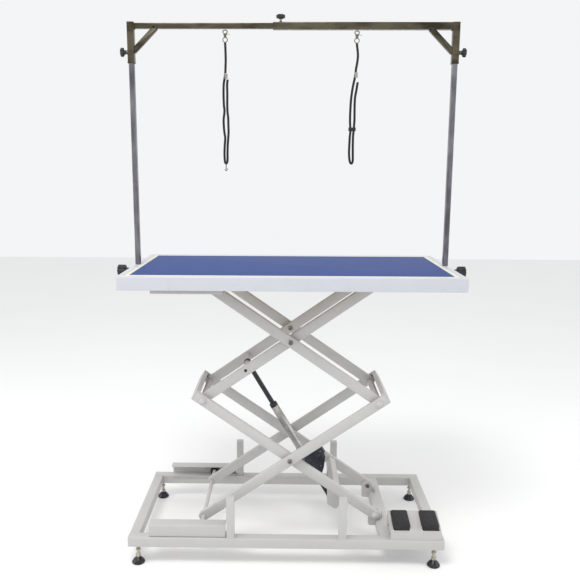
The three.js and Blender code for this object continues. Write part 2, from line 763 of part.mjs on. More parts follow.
// A sleeve over the post, its half of the bar and a brace between them, welded together.
function overhead(way, start, end, side) {
  const half = side / 2;
  const z = tableTop + bar.height;
  const top = tableTop + sleeve.top;
  const x = way * postX;
  const xs = between(start, end);
  const inner = x - way * (sleeveSide / 2 - 1);
  const diagonal = new THREE.BoxGeometry(brace.reach * Math.SQRT2, brace.side, brace.side);
  diagonal.rotateY(way * (Math.PI / 4));
  diagonal.translate(inner - way * (brace.reach / 2 + 2), 0, z - half - brace.reach / 2 - 2);
  const cornerX = between(x, x - way * 4 * brace.reach);
  const corner = block([cornerX[0], -brace.side, z - 4 * brace.reach], [cornerX[1], brace.side, z]);
  const sleeveHalf = sleeveSide / 2;
  const sleeveLow = [x - sleeveHalf, -sleeveHalf, top - sleeve.length];
  const solidSleeve = block(sleeveLow, [x + sleeveHalf, sleeveHalf, top]);
  const bore = post.side / 2 + slip;
  const screw = knobShape.screw + slip;
  const sideHole = { axis: "x", z: tableTop + sleeve.knob };
  const tools = [
    block([x - bore, -bore, top - sleeve.length - 1], [x + bore, bore, top + 1]),
    round(screw, postX + 2, postX + sleeveHalf + 1, sideHole).scale([way, 1, 1]),
  ];
  if (side === barOuter) {
    const hollow = half - bar.wall;
    tools.push(block([xs[0] - 1, -hollow, z - hollow], [xs[1] - 1, hollow, z + hollow]));
    tools.push(round(screw, z, z + half + 1, { axis: "z", x: bar.knobX }));
  }
  const barBody = block([xs[0], -half, z - half], [xs[1], half, z + half]);
  return cut(join([solidSleeve, barBody, solid(diagonal).intersect(corner)]), tools);
}
const barMeet = postX - sleeveSide / 2 + 1;
put("overhead_left", overhead(-1, -barMeet, bar.outerStart + bar.overlap, bar.inner), finishes.steel);
put("overhead_right", overhead(1, barMeet, bar.outerStart, barOuter), finishes.steel);

// ---------------------------------------------------------------- clamp knobs
// A fluted head on a screw, pointing along +X from its own origin, which is the screw's tip.
function knob(headStart, headLength, radius) {
  const { lobes, screw } = knobShape;
  const flute = radius * knobShape.flute;
  const shape = new THREE.Shape();
  const steps = lobes * 6;
  for (let i = 0; i <= steps; i += 1) {
    const a = (2 * Math.PI * i) / steps;
    const r = radius - flute + flute * Math.cos(lobes * a);
    const point = [r * Math.cos(a), r * Math.sin(a)];
    if (i === 0) shape.moveTo(...point);
    else if (i < steps) shape.lineTo(...point);
  }
  shape.closePath();
  const grip = new THREE.ExtrudeGeometry(shape, { depth: headLength, bevelEnabled: false });
  grip.rotateY(Math.PI / 2);
  grip.translate(headStart, 0, 0);
  return solid(grip).add(round(screw, 0, headStart + 1, { axis: "x", sides: 12 }));
}

function putKnob(name, geometry, x, z, turn) {
  const mesh = put(name, geometry, finishes.black);
  mesh.position.set(x, 0, z);
  mesh.rotation.y = turn;
}
const screwTip = postX + post.side / 2 + gap;
const clampHead = table.length / 2 + clampKnob.head - screwTip;
const sideHead = sleeveSide / 2 - post.side / 2 - gap + sideKnob.stem;
for (const [name, way, turn] of [["left", -1, Math.PI], ["right", 1, 0]]) {
  const clamp = knob(clampHead, clampKnob.length, clampKnob.radius);
  putKnob(`clamp_knob_${name}`, clamp, way * screwTip, tableTop - clampKnob.drop, turn);
  const small = knob(sideHead, sideKnob.length, sideKnob.radius);
  putKnob(`sleeve_knob_${name}`, small, way * screwTip, tableTop + sleeve.knob, turn);
}
const barScrewTip = tableTop + bar.height + bar.inner / 2 + gap;
const barKnob = knob((barOuter - bar.inner) / 2 - gap + sideKnob.stem, sideKnob.length, sideKnob.radius);
putKnob("bar_knob", barKnob, bar.knobX, barScrewTip, -Math.PI / 2);

// ---------------------------------------------------------------- grooming loops
// Each hangs from the bar on a snap hook: a strap from the hook's ring that runs down, turns and
// comes back up to its slider. The places are [sideways, below the ring] in millimetres.
const loopRoutes = {
  left: {
    x: -256,
    under: bar.inner / 2,
    route: [
      [0, 0], [1, 30], [1.5, 60], [0.5, 90], [-0.5, 112], [-3, 128], [-7, 152], [-8, 190], [-7, 228],
      [-5, 252], [-8.5, 282], [-8, 310], [-5.5, 336], [-3, 352], [-5, 378], [-6.5, 406], [-6, 430],
      [-4.5, 444], [-0.5, 450], [4, 444], [5.2, 430], [5.4, 406], [6.4, 378], [8.6, 352], [10, 330],
      [9.5, 300], [9, 276], [6.5, 252], [6, 220], [6.5, 185], [6, 155], [8, 134],
    ],
  },
  right: {
    x: 242,
    under: barOuter / 2,
    route: [
      [0, 0], [3, 22], [5, 44], [3, 68], [-1, 92], [-2.5, 110], [-6, 130], [-12, 160], [-17, 200],
      [-19, 240], [-19.5, 280], [-18, 308], [-17, 322], [-19, 344], [-20, 372], [-20.5, 405],
      [-18, 432], [-13.5, 444], [-8.5, 444], [-5.5, 432], [-6, 405], [-6.6, 372], [-6.5, 344],
      [-5, 322], [-4, 308], [-2.5, 280], [-3, 240], [-2.5, 200], [2.5, 168], [6.5, 140],
    ],
  },
};

function strap(route) {
  const points = route.map(([x, down]) => new THREE.Vector3(x, 0, -down));
  const curve = new THREE.CatmullRomCurve3(points);
  const [w, t] = [loops.width / 2, loops.thick / 2];
  const section = new THREE.Shape();
  section.moveTo(-t, -w + t);
  section.lineTo(-t, w - t);
  section.lineTo(-t / 2, w);
  section.lineTo(t / 2, w);
  section.lineTo(t, w - t);
  section.lineTo(t, -w + t);
  section.lineTo(t / 2, -w);
  section.lineTo(-t / 2, -w);
  section.closePath();
  return new THREE.ExtrudeGeometry(section, { steps: 60, bevelEnabled: false, extrudePath: curve });
}

// A swivel snap hook: its fork closes again below the bar, and the strap hangs from its ring.
function snapHook() {
  const { wire, neck, shoulder, fork, tip, hookHeight } = loops;
  const ring = new THREE.TorusGeometry(loops.ring, wire, 6, 18);
  ring.rotateX(Math.PI / 2);
  ring.translate(0, 0, loops.ring + wire + gap);
  const ringTop = 2 * (loops.ring + wire) + gap;
  const side = [
    [neck, ringTop - 2],
    [shoulder, ringTop + 10],
    [fork, hookHeight - 9],
    [fork, hookHeight - 5],
    [tip, hookHeight - 1],
  ];
  const outline = [...side, ...side.map(([x, z]) => [-x, z]).reverse()];
  return join([solid(ring), plate(outline, -neck, neck)]);
}

for (const [name, { x, under, route }] of Object.entries(loopRoutes)) {
  const hang = new THREE.Group();
  hang.position.set(x, 0, tableTop + bar.height - under - loops.hookHeight);
  root.add(hang);
  put(`snap_hook_${name}`, snapHook(), finishes.steel, hang);
  put(`loop_strap_${name}`, strap(route), finishes.strap, hang);
  if (name === "left") {
    const [sideways, down] = route.reduce((low, next) => (next[1] > low[1] ? next : low));
    const { width, height } = loops.endHook;
    const z = -down - loops.width / 2 - 1;
    const hook = block([sideways - width / 2, -1.5, z - height], [sideways + width / 2, 1.5, z]);
    put("loop_end_hook_left", hook, finishes.black, hang);
  }
}

export default root;
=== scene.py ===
import json
import math

import bmesh
import bpy
import numpy as np
from mathutils import Matrix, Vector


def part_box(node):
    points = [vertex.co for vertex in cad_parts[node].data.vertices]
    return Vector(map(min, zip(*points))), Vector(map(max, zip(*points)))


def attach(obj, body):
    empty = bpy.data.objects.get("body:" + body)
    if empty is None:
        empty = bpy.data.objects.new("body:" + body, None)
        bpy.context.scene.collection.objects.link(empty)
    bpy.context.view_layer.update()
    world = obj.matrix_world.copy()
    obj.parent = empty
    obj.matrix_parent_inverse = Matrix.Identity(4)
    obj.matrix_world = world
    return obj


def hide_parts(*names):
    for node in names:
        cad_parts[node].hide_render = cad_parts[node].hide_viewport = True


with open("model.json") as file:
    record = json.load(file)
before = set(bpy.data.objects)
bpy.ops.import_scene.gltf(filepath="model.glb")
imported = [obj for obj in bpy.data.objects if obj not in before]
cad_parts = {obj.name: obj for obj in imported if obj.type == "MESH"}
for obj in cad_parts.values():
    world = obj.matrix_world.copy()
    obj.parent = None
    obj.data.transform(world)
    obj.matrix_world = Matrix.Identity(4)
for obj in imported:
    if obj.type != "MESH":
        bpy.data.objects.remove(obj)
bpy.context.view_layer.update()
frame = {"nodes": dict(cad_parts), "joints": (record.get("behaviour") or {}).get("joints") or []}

nodeBox = {name: [np.array(corner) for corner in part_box(name)] for name in frame["nodes"]}
jointAt = {joint["name"]: joint for joint in frame["joints"]}
tableTop = nodeBox["table_frame"][1][2]

camera = {
    "place": (-0.01695, -2.6693, 1.5101),
    "yaw": 0.83,       # degrees to the left of straight ahead
    "down": 10.11,
    "roll": 0.22,
    "lens": 41.77,
    "shift": (0.0222, 0.0008),
}


def addCamera(view):
    data = bpy.data.cameras.new("camera")
    data.lens = view["lens"]
    data.shift_x, data.shift_y = view["shift"]
    data.clip_end = 60
    eye = bpy.data.objects.new("camera", data)
    turn = (
        Matrix.Rotation(math.radians(view["yaw"]), 4, "Z")
        @ Matrix.Rotation(math.radians(90 - view["down"]), 4, "X")
        @ Matrix.Rotation(math.radians(view["roll"]), 4, "Z")
    )
    eye.matrix_world = Matrix.Translation(view["place"]) @ turn
    bpy.context.scene.collection.objects.link(eye)
    bpy.context.scene.camera = eye


addCamera(camera)
print("camera placed")


def surface(name, grid, closeRows=False, closeColumns=True, sharp=35):
    # A quad joins point j of row i with its neighbours; open rows get a face at each end.
    rows, columns, _ = grid.shape
    i = np.arange(rows if closeRows else rows - 1)[:, None]
    j = np.arange(columns if closeColumns else columns - 1)[None, :]
    nextRow, nextColumn = (i + 1) % rows, (j + 1) % columns
    row, below = i * columns, nextRow * columns
    corners = [row + j, row + nextColumn, below + nextColumn, below + j]
    faces = np.stack(corners, -1).reshape(-1, 4).tolist()
    if closeColumns and not closeRows:
        faces += [list(range(columns)), list(range((rows - 1) * columns, rows * columns))]
    mesh = bpy.data.meshes.new(name)
    mesh.from_pydata(grid.reshape(-1, 3).tolist(), [], faces)
    return settle(name, mesh, sharp)


def shown(name, mesh):
    piece = bpy.data.objects.new(name, mesh)
    bpy.context.scene.collection.objects.link(piece)
    return piece


def smoothed(work, sharp):
    # Smooth shading, with every edge that turns by more than the angle left hard.
    for face in work.faces:
        face.smooth = True
    for edge in work.edges:
        edge.smooth = len(edge.link_faces) == 2 and edge.calc_face_angle(4) < math.radians(sharp)


def settle(name, mesh, sharp):
    # Doubles merged and faces turned outwards.
    work = bmesh.new()
    work.from_mesh(mesh)
    bmesh.ops.remove_doubles(work, verts=work.verts, dist=1e-6)
    bmesh.ops.dissolve_degenerate(work, edges=work.edges, dist=1e-7)
    bmesh.ops.recalc_face_normals(work, faces=work.faces)
    smoothed(work, sharp)
    work.to_mesh(mesh)
    work.free()
    return shown(name, mesh)


def joined(name, pieces):
    # Several surfaces of one finish become one piece.
    work = bmesh.new()
    for piece in pieces:
        work.from_mesh(piece.data)
    mesh = bpy.data.meshes.new(name)
    work.to_mesh(mesh)
    work.free()
    for piece in pieces:
        bpy.data.objects.remove(piece)
    return shown(name, mesh)


def spread(profile, axis, centre):
    # Points (a, b, along) in the frame of an axis, moved to the row frame.
    along = np.array(axis, float) / np.linalg.norm(axis)
    side = np.cross([0.0, 1.0, 0.0] if abs(along[1]) < 0.9 else [1.0, 0.0, 0.0], along)
    side /= np.linalg.norm(side)
    other = np.cross(along, side)
    return np.array(centre) + profile[..., :1] * side + profile[..., 1:2] * other + profile[..., 2:] * along


def turned(name, profile, centre, axis, sides=48, edge=None, sharp=35):
    # Row k is the circle (r cos a, r sin a, t) of profile pair (r, t); edge(r, t, a) may change r.
    rows = np.array(profile, float)
    angle = np.linspace(0, 2 * np.pi, sides, endpoint=False)
    radius = np.repeat(rows[:, :1], sides, 1)
    if edge:
        radius = edge(radius, rows[:, 1:2], angle[None, :])
    place = np.repeat(rows[:, 1:2], sides, 1)
    ring = np.stack([radius * np.cos(angle), radius * np.sin(angle), place], -1)
    return surface(name, spread(ring, axis, centre), sharp=sharp)


def hexagon(angle, flat):
    # The distance to the side of a hexagon, flat / cos of the angle from the middle of that side.
    return flat / np.cos((angle % (np.pi / 3)) - np.pi / 6)


def filleted(corners, radius, steps=5):
    # Each corner becomes an arc that touches its two sides, radius being one size or one a corner.
    corners = np.array(corners, float)
    radii = np.broadcast_to(radius, len(corners))
    points = []
    for k, corner in enumerate(corners):
        back, ahead = corners[k - 1] - corner, corners[(k + 1) % len(corners)] - corner
        back, ahead = back / np.linalg.norm(back), ahead / np.linalg.norm(ahead)
        half = math.acos(np.clip(back @ ahead, -1, 1)) / 2
        if radii[k] < 1e-7 or abs(half - math.pi / 2) < 1e-4:
            points.append(corner)
            continue
        middle = corner + (back + ahead) / np.linalg.norm(back + ahead) * radii[k] / math.sin(half)
        start = corner + back * radii[k] / math.tan(half) - middle
        sweep = math.pi - 2 * half
        turn = sweep if back[0] * ahead[1] - back[1] * ahead[0] < 0 else -sweep
        for share in np.linspace(0, 1, steps):
            c, s = math.cos(turn * share), math.sin(turn * share)
            points.append(middle + (start[0] * c - start[1] * s, start[0] * s + start[1] * c))
    return np.array(points)


def rectangle(low, high, radius, steps=5):
    # Four rounded corners, anticlockwise from the lowest.
    x0, y0, x1, y1 = low[0], low[1], high[0], high[1]
    return filleted([(x0, y0), (x1, y0), (x1, y1), (x0, y1)], radius, steps)


def outward(outline):
    # At each point, the outward direction, longer at a corner so that an offset keeps its width.
    back = outline - np.roll(outline, 1, 0)
    ahead = np.roll(outline, -1, 0) - outline
    back /= np.linalg.norm(back, axis=1, keepdims=True)
    ahead /= np.linalg.norm(ahead, axis=1, keepdims=True)
    normals = np.stack([back[:, 1] + ahead[:, 1], -back[:, 0] - ahead[:, 0]], 1)
    normals /= np.linalg.norm(normals, axis=1, keepdims=True)
    lean = normals[:, 0] * ahead[:, 1] - normals[:, 1] * ahead[:, 0]
    area = np.sum(outline[:, 0] * np.roll(outline[:, 1], -1) - outline[:, 1] * np.roll(outline[:, 0], -1))
    return np.sign(area) * normals / np.maximum(np.abs(lean), 0.5)[:, None]


def prism(name, outline, low, high, edge, axis="y", steps=4):
    # An outline carried from low to high, its rims rounded: inset e(1 - sin a) at depth e(1 - cos a).
    outline = np.array(outline, float)
    normals = outward(outline)
    angle = np.linspace(0, np.pi / 2, steps)
    inset, depth = edge * (1 - np.sin(angle)), edge * (1 - np.cos(angle))
    levels = [(k, low + d) for k, d in zip(inset, depth)]
    levels += [(k, high - d) for k, d in zip(inset[::-1], depth[::-1])]
    rows = [np.insert(outline - normals * k, "xyz".index(axis), level, axis=1) for k, level in levels]
    return surface(name, np.array(rows))


def bar(name, low, high, axis, corner, edge=0.0008):
    # A box-section tube: a rounded rectangle carried along one axis.
    low, high = np.array(low, float), np.array(high, float)
    k = "xyz".index(axis)
    return prism(name, rectangle(np.delete(low, k), np.delete(high, k), corner), low[k], high[k], edge, axis)


def carried(name, section, path, closed=False):
    # The section's points stand square to a path that lies across Y: across = tangent x Y, and Y itself.
    path = np.array(path, float)
    ahead = np.roll(path, -1, 0) - path
    back = path - np.roll(path, 1, 0)
    if not closed:
        ahead[-1], back[0] = back[-1], ahead[0]
    ahead /= np.linalg.norm(ahead, axis=1, keepdims=True)
    back /= np.linalg.norm(back, axis=1, keepdims=True)
    tangent = ahead + back
    tangent /= np.linalg.norm(tangent, axis=1, keepdims=True)
    across = np.cross(tangent, (0.0, 1.0, 0.0))
    across /= np.linalg.norm(across, axis=1, keepdims=True)
    upright = np.cross(across, tangent)
    section = np.array(section, float)
    grid = path[:, None] + section[None, :, :1] * across[:, None] + section[None, :, 1:] * upright[:, None]
    return surface(name, grid, closeRows=closed)


def circle(radius, sides):
    # Points (r cos a, r sin a).
    angle = np.linspace(0, 2 * np.pi, sides, endpoint=False)
    return np.stack([radius * np.cos(angle), radius * np.sin(angle)], 1)


def threaded(radius, share, places):
    # Pairs (r, t) whose radius dips by the given share and comes back once every five places.
    dips = [0.5 + 0.5 * math.cos(k * 2 * math.pi / 5) for k in range(len(places))]
    return [(radius * (1 - share * dip), t) for dip, t in zip(dips, places)]


def pinProfile(radius, half, inset=0, rise=0):
    # Pairs (r, t) of a round bar about its own middle, its ends chamfered by inset and rise.
    if not inset:
        return [(0, -half), (radius, -half), (radius, half), (0, half)]
    top = [(radius, half - rise), (radius - inset, half), (0, half)]
    return [(r, -t) for r, t in top[::-1]] + top


def smoothPath(points, spacing=0.004):
    # A Catmull-Rom curve through the points, resampled at even steps.
    points = np.array(points, float)
    ends = np.vstack([2 * points[0] - points[1], points, 2 * points[-1] - points[-2]])
    t = np.linspace(0, 1, 12, endpoint=False)[:, None]
    curve = [
        0.5 * (2 * b + (c - a) * t + (2 * a - 5 * b + 4 * c - d) * t**2 + (3 * b - a - 3 * c + d) * t**3)
        for a, b, c, d in zip(ends[:-3], ends[1:-2], ends[2:-1], ends[3:])
    ]
    curve = np.vstack(curve + [points[-1:]])
    length = np.concatenate([[0], np.cumsum(np.linalg.norm(np.diff(curve, axis=0), axis=1))])
    even = np.linspace(0, length[-1], max(8, int(length[-1] / spacing)))
    return np.stack([np.interp(even, length, curve[:, k]) for k in range(curve.shape[1])], 1), length[-1]


def softened(node, width, segments):
    # A copy of a CAD node, its loose triangles merged, with its edges rounded.
    mesh = frame["nodes"][node].data.copy()
    mesh.materials.clear()
    work = bmesh.new()
    work.from_mesh(mesh)
    bmesh.ops.remove_doubles(work, verts=work.verts, dist=2e-6)
    bmesh.ops.dissolve_limit(work, angle_limit=math.radians(1), verts=work.verts, edges=work.edges)
    smoothed(work, 35)
    work.to_mesh(mesh)
    work.free()
    piece = shown(node + "_shown", mesh)
    rounding = piece.modifiers.new("edges", "BEVEL")
    rounding.width = width
    rounding.segments = segments
    rounding.limit_method = "ANGLE"
    rounding.angle_limit = math.radians(35)
    rounding.harden_normals = True
    return piece


class Value:
    # A number that varies over a surface; arithmetic on it adds Math nodes.
    def __init__(self, finish, output):
        self.finish = finish
        self.output = output

    def combine(self, operation, first, second):
        return self.finish.node("ShaderNodeMath", {"operation": operation}, {0: first, 1: second})

    def __add__(self, other):
        return self.combine("ADD", self, other)

    def __radd__(self, other):
        return self.combine("ADD", other, self)

    def __sub__(self, other):
        return self.combine("SUBTRACT", self, other)

    def __rsub__(self, other):
        return self.combine("SUBTRACT", other, self)

    def __mul__(self, other):
        return self.combine("MULTIPLY", self, other)

    def __rmul__(self, other):
        return self.combine("MULTIPLY", other, self)

    def __truediv__(self, other):
        return self.combine("DIVIDE", self, other)

    def __rtruediv__(self, other):
        return self.combine("DIVIDE", other, self)


class Finish:
    # One material: its fixed values are set here, its patterns by the methods below.
    def __init__(self, name, **fixed):
        self.material = bpy.data.materials.new(name)
        self.material.use_nodes = True
        self.tree = self.material.node_tree
        self.shader = next(n for n in self.tree.nodes if n.type == "BSDF_PRINCIPLED")
        for socket, value in fixed.items():
            self.set(socket, value)

    def set(self, socket, value):
        self.fill(self.shader.inputs[socket.replace("_", " ")], value)

    def fill(self, target, value):
        # A pattern is linked to its socket, and a plain value is written into it.
        if isinstance(value, Value):
            self.tree.links.new(value.output, target)
        elif isinstance(value, tuple) and len(value) == 3 and target.type == "RGBA":
            target.default_value = (*value, 1)
        else:
            target.default_value = value

    def node(self, kind, settings=None, sockets=None, output=0):
        made = self.tree.nodes.new(kind)
        for key, value in (settings or {}).items():
            setattr(made, key, value)
        for key, value in (sockets or {}).items():
            self.fill(made.inputs[key], value)
        return Value(self, made.outputs[output])

    def place(self, scale):
        where = self.node("ShaderNodeTexCoord", output="Object")
        return self.node("ShaderNodeMapping", {}, {"Vector": where, "Scale": scale})

    def noise(self, size, stretch=(1, 1, 1), detail=3.0):
        # size is the width of one blotch in metres, before it is stretched
        where = self.place(tuple(s / size for s in stretch))
        sockets = {"Vector": where, "Scale": 1.0, "Detail": detail}
        return self.node("ShaderNodeTexNoise", {}, sockets, output="Fac")

    def ramp(self, value, low, high):
        # 0 below low, 1 above high
        span = {"Value": value, "From Min": low, "From Max": high}
        return self.node("ShaderNodeMapRange", {"clamp": True}, span)

    def blend(self, factor, first, second):
        return self.node("ShaderNodeMix", {"data_type": "RGBA"}, {0: factor, 6: first, 7: second}, output=2)

    def relief(self, height, depth, strength):
        bump = self.node("ShaderNodeBump", {}, {"Height": height, "Distance": depth, "Strength": strength})
        self.set("Normal", bump)


def powderCoat(name, colour, shaded, roughness=0.42):
    # Sprayed powder: a fine orange peel, faint cloudiness, and a few rubbed, duller patches.
    finish = Finish(name, Specular_IOR_Level=0.45)
    cloud = finish.noise(0.11, detail=2.0)
    rubbed = finish.ramp(finish.noise(0.035, detail=6.0), 0.58, 0.72)
    finish.set("Base Color", finish.blend(cloud * 0.55 + rubbed * 0.25, colour, shaded))
    finish.set("Roughness", roughness + rubbed * 0.12 + (cloud - 0.5) * 0.1)
    finish.relief(finish.noise(0.0022, detail=2.0), 0.0006, 0.22)
    return finish.material


def polishedSteel(name, bright, dark, along):
    # Drawn stainless tube: fine lines along its length, and slow warm and cool clouding; on the posts and the
    # bar the two colours are painted reflection of a dark room, darker than the steel's own colour.
    finish = Finish(name, Metallic=1.0)
    stretch = {"x": (0.02, 1, 1), "z": (1, 1, 0.02)}[along]
    slow = {"x": (0.35, 1, 1), "z": (1, 1, 0.35)}[along]
    lines = finish.noise(0.0012, stretch, 2.0)
    cloud = finish.ramp(finish.noise(0.045, slow, 4.0), 0.38, 0.62)
    finish.set("Base Color", finish.blend(cloud * 0.75 + lines * 0.25, dark, bright))
    finish.set("Roughness", 0.13 + lines * 0.14 + cloud * 0.05)
    finish.relief(lines, 0.0002, 0.12)
    return finish.material


def mouldedPlastic(name, colour, worn, roughness=0.45, grain=0.0011):
    # Moulded black: spark-eroded grain, a little greyer where hands and shoes rub it.
    finish = Finish(name, Specular_IOR_Level=0.4)
    rubbed = finish.ramp(finish.noise(0.012, detail=5.0), 0.5, 0.75)
    finish.set("Base Color", finish.blend(rubbed, colour, worn))
    finish.set("Roughness", roughness + rubbed * 0.15)
    finish.relief(finish.noise(grain, detail=3.0), 0.0005, 0.35)
    return finish.material


def platedSteel(name, colour, dull, roughness):
    # Zinc or nickel plating: clean on the flats, clouded in patches.
    finish = Finish(name, Metallic=1.0)
    patch = finish.ramp(finish.noise(0.006, detail=4.0), 0.4, 0.7)
    finish.set("Base Color", finish.blend(patch, colour, dull))
    finish.set("Roughness", roughness + patch * 0.2)
    finish.relief(finish.noise(0.0009, detail=2.0), 0.0002, 0.15)
    return finish.material


def rubberMat(name):
    # Blue sheet rubber: pebbled skin, faint rolling bands along its length, paw scuffs.
    finish = Finish(name, Specular_IOR_Level=0.2, Sheen_Weight=0.04, Sheen_Roughness=0.45)
    bands = finish.noise(0.09, (0.06, 1, 1), 3.0)
    scuffs = finish.ramp(finish.noise(0.02, (0.5, 1, 1), 6.0), 0.6, 0.74)
    skin = {"Vector": finish.place((420, 420, 420)), "Scale": 1.0}
    pebbles = finish.node("ShaderNodeTexVoronoi", {"feature": "F1"}, skin, output="Distance")
    base = finish.blend(bands, (0.020, 0.048, 0.195), (0.036, 0.072, 0.235))
    finish.set("Base Color", finish.blend(scuffs * 0.3, base, (0.062, 0.098, 0.245)))
    finish.set("Roughness", 0.6 + bands * 0.12 + scuffs * 0.1)
    finish.relief(pebbles, 0.0008, 0.35)
    return finish.material


def plyBoard(name):
    # Sheet plywood: long grain in layers of ring noise.
    finish = Finish(name, Roughness=0.75)
    grain = finish.noise(0.006, (0.05, 1, 1), 6.0)
    finish.set("Base Color", finish.blend(grain, (0.36, 0.23, 0.12), (0.58, 0.42, 0.26)))
    finish.relief(grain, 0.0004, 0.4)
    return finish.material


def wovenStrap(name):
    # Webbing: a fine chevron of warp threads across and along the strip's own UV map.
    finish = Finish(name, Specular_IOR_Level=0.3, Sheen_Weight=0.3, Sheen_Roughness=0.5)
    strip = finish.node("ShaderNodeUVMap", {"uv_map": "strip"})
    u, v = [finish.node("ShaderNodeSeparateXYZ", {}, {0: strip}, output=axis) for axis in "XY"]
    fold = finish.node("ShaderNodeMath", {"operation": "PINGPONG"}, {0: v * 4.0, 1: 1.0})
    slant = finish.node("ShaderNodeMath", {"operation": "FRACT"}, {0: u / 0.0016 + fold * 1.2})
    thread = finish.node("ShaderNodeMath", {"operation": "PINGPONG"}, {0: slant, 1: 0.5}) * 2.0
    finish.set("Base Color", finish.blend(thread, (0.002, 0.002, 0.0025), (0.012, 0.012, 0.014)))
    finish.set("Roughness", 0.7 + thread * 0.15)
    finish.relief(thread, 0.0005, 0.7)
    return finish.material


# Each finish: its slot in the part's record and its material.
finishes = {
    "coat": ("coat", powderCoat("coat_grey_white", (0.505, 0.50, 0.495), (0.435, 0.43, 0.42))),
    "tableCoat": (
        "table_coat", powderCoat("coat_blue_white", (0.54, 0.555, 0.595), (0.48, 0.49, 0.53), 0.38),
    ),
    "lip": ("table_coat", powderCoat("coat_cream", (0.72, 0.70, 0.62), (0.62, 0.60, 0.51), 0.5)),
    # The posts' colours are painted reflection: a dark brownish painted shade for the dark room and a bluish
    # painted highlight, not the steel's own colour.
    "post": ("stainless", polishedSteel("stainless_post", (0.27, 0.265, 0.30), (0.105, 0.095, 0.10), "z")),
    # The bar's near-black brown is painted reflection of a dark room, not the steel's own colour.
    "overhead": (
        "stainless", polishedSteel("stainless_bar", (0.150, 0.130, 0.095), (0.034, 0.028, 0.020), "x"),
    ),
    "nickel": ("stainless", platedSteel("nickel_hook", (0.21, 0.20, 0.15), (0.085, 0.08, 0.058), 0.26)),
    "bolt": ("bolt_steel", platedSteel("zinc_bolt", (0.26, 0.24, 0.22), (0.13, 0.12, 0.11), 0.35)),
    "stem": ("bolt_steel", platedSteel("stem_steel", (0.52, 0.48, 0.42), (0.26, 0.24, 0.20), 0.25)),
    "silver": ("silver_tube", polishedSteel("tube_silver", (0.50, 0.49, 0.47), (0.20, 0.19, 0.17), "z")),
    "black": ("black_plastic", mouldedPlastic("plastic_black", (0.012, 0.012, 0.014), (0.035, 0.035, 0.038))),
    "rod": (
        "rod_black", mouldedPlastic("rod_black", (0.010, 0.011, 0.018), (0.03, 0.032, 0.045), 0.22, 0.004),
    ),
    "motor": (
        "black_plastic", mouldedPlastic("motor_black", (0.012, 0.014, 0.022), (0.035, 0.04, 0.055), 0.3),
    ),
    "pad": ("black_rubber", mouldedPlastic("pad_black", (0.010, 0.010, 0.013), (0.03, 0.03, 0.036), 0.25)),
    "mat": ("mat_rubber", rubberMat("mat_blue")),
    "board": ("board", plyBoard("board_ply")),
    "strap": ("webbing", wovenStrap("strap_black")),
}
print("materials made:", len(finishes))


def dress(piece, finish, body, *nodes):
    # Gives a piece its finish and the body it moves with, and hides the CAD nodes it stands for.
    slot, material = finishes[finish]
    piece.data.materials.clear()
    piece.data.materials.append(material)
    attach(piece, body)
    if nodes:
        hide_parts(*nodes)
    return piece


loop = {
    "width": 0.009,
    "thick": 0.0024,
    "gap": 0.0003,       # from the hook's ring to the strap
    "clipHalf": 0.0032,  # half a crimp's depth
    "left": {
        "route": [
            (0, 0), (1, 30), (1.5, 60), (0.5, 90), (-0.5, 112), (-3, 128), (-7, 152), (-8, 190), (-7, 228),
            (-5, 252), (-8.5, 282), (-8, 310), (-5.5, 336), (-3, 352), (-5, 378), (-6.5, 406), (-6, 430),
            (-4.5, 444), (-0.5, 450), (4, 444), (5.2, 430), (5.4, 406), (6.4, 378), (8.6, 352), (10, 330),
            (9.5, 300), (9, 276), (6.5, 252), (6, 220), (6.5, 185), (6, 155), (8, 134),
        ],
        "crimps": [{"from": 0.112, "to": 0.132, "half": 0.006, "shift": 0.003, "finish": "silver"}],
        "endHook": True,
    },
    "right": {
        "route": [
            (0, 0), (3, 22), (5, 44), (3, 68), (-1, 92), (-2.5, 110), (-6, 130), (-12, 160), (-17, 200),
            (-19, 240), (-19.5, 280), (-18, 308), (-17, 322), (-19, 344), (-20, 372), (-20.5, 405),
            (-18, 432), (-13.5, 444), (-8.5, 444), (-5.5, 432), (-6, 405), (-6.6, 372), (-6.5, 344),
            (-5, 322), (-4, 308), (-2.5, 280), (-3, 240), (-2.5, 200), (2.5, 168), (6.5, 140),
        ],
        "crimps": [
            {"from": 0.104, "to": 0.124, "half": 0.006, "shift": 0.003, "finish": "silver"},
            {"from": 0.308, "to": 0.322, "half": 0.014, "shift": 0.007, "finish": "black"},
        ],
        "endHook": False,
    },
}


def strapSection(width, thick):
    # A flat oval: a superellipse, wide across and thin through.
    angle = np.linspace(0, 2 * np.pi, 16, endpoint=False)
    bulge = lambda v: np.sign(v) * np.abs(v) ** 0.6
    return np.stack([width / 2 * bulge(np.cos(angle)), thick / 2 * bulge(np.sin(angle))], 1)


def addStripMap(piece, section, path):
    # u runs along the strip in metres, v round the section from 0 to 1.
    mesh = piece.data
    points = np.zeros(len(mesh.vertices) * 3)
    mesh.vertices.foreach_get("co", points)
    points = points.reshape(-1, 3)
    length = np.concatenate([[0], np.cumsum(np.linalg.norm(np.diff(path, axis=0), axis=1))])
    rows = np.arange(len(points)) // len(section)
    rows = np.minimum(rows, len(path) - 1)
    around = (np.arange(len(points)) % len(section)) / len(section)
    corners = np.zeros(len(mesh.loops), int)
    mesh.loops.foreach_get("vertex_index", corners)
    layer = mesh.uv_layers.new(name="strip")
    layer.data.foreach_set("uv", np.stack([length[rows][corners], around[corners]], 1).ravel())


def makeCrimp(name, body, crimp, route, top):
    # A clip across the strands, set off from the route's point at its own height.
    near = min(route, key=lambda point: abs(top[2] - point[2] - crimp["from"]))
    middle = near[0] + crimp["shift"]
    low = (middle - crimp["half"], top[2] - crimp["to"])
    high = (middle + crimp["half"], top[2] - crimp["from"])
    clip = prism(name, rectangle(low, high, 0.0015), -loop["clipHalf"], loop["clipHalf"], 0.0012)
    return dress(clip, crimp["finish"], body)


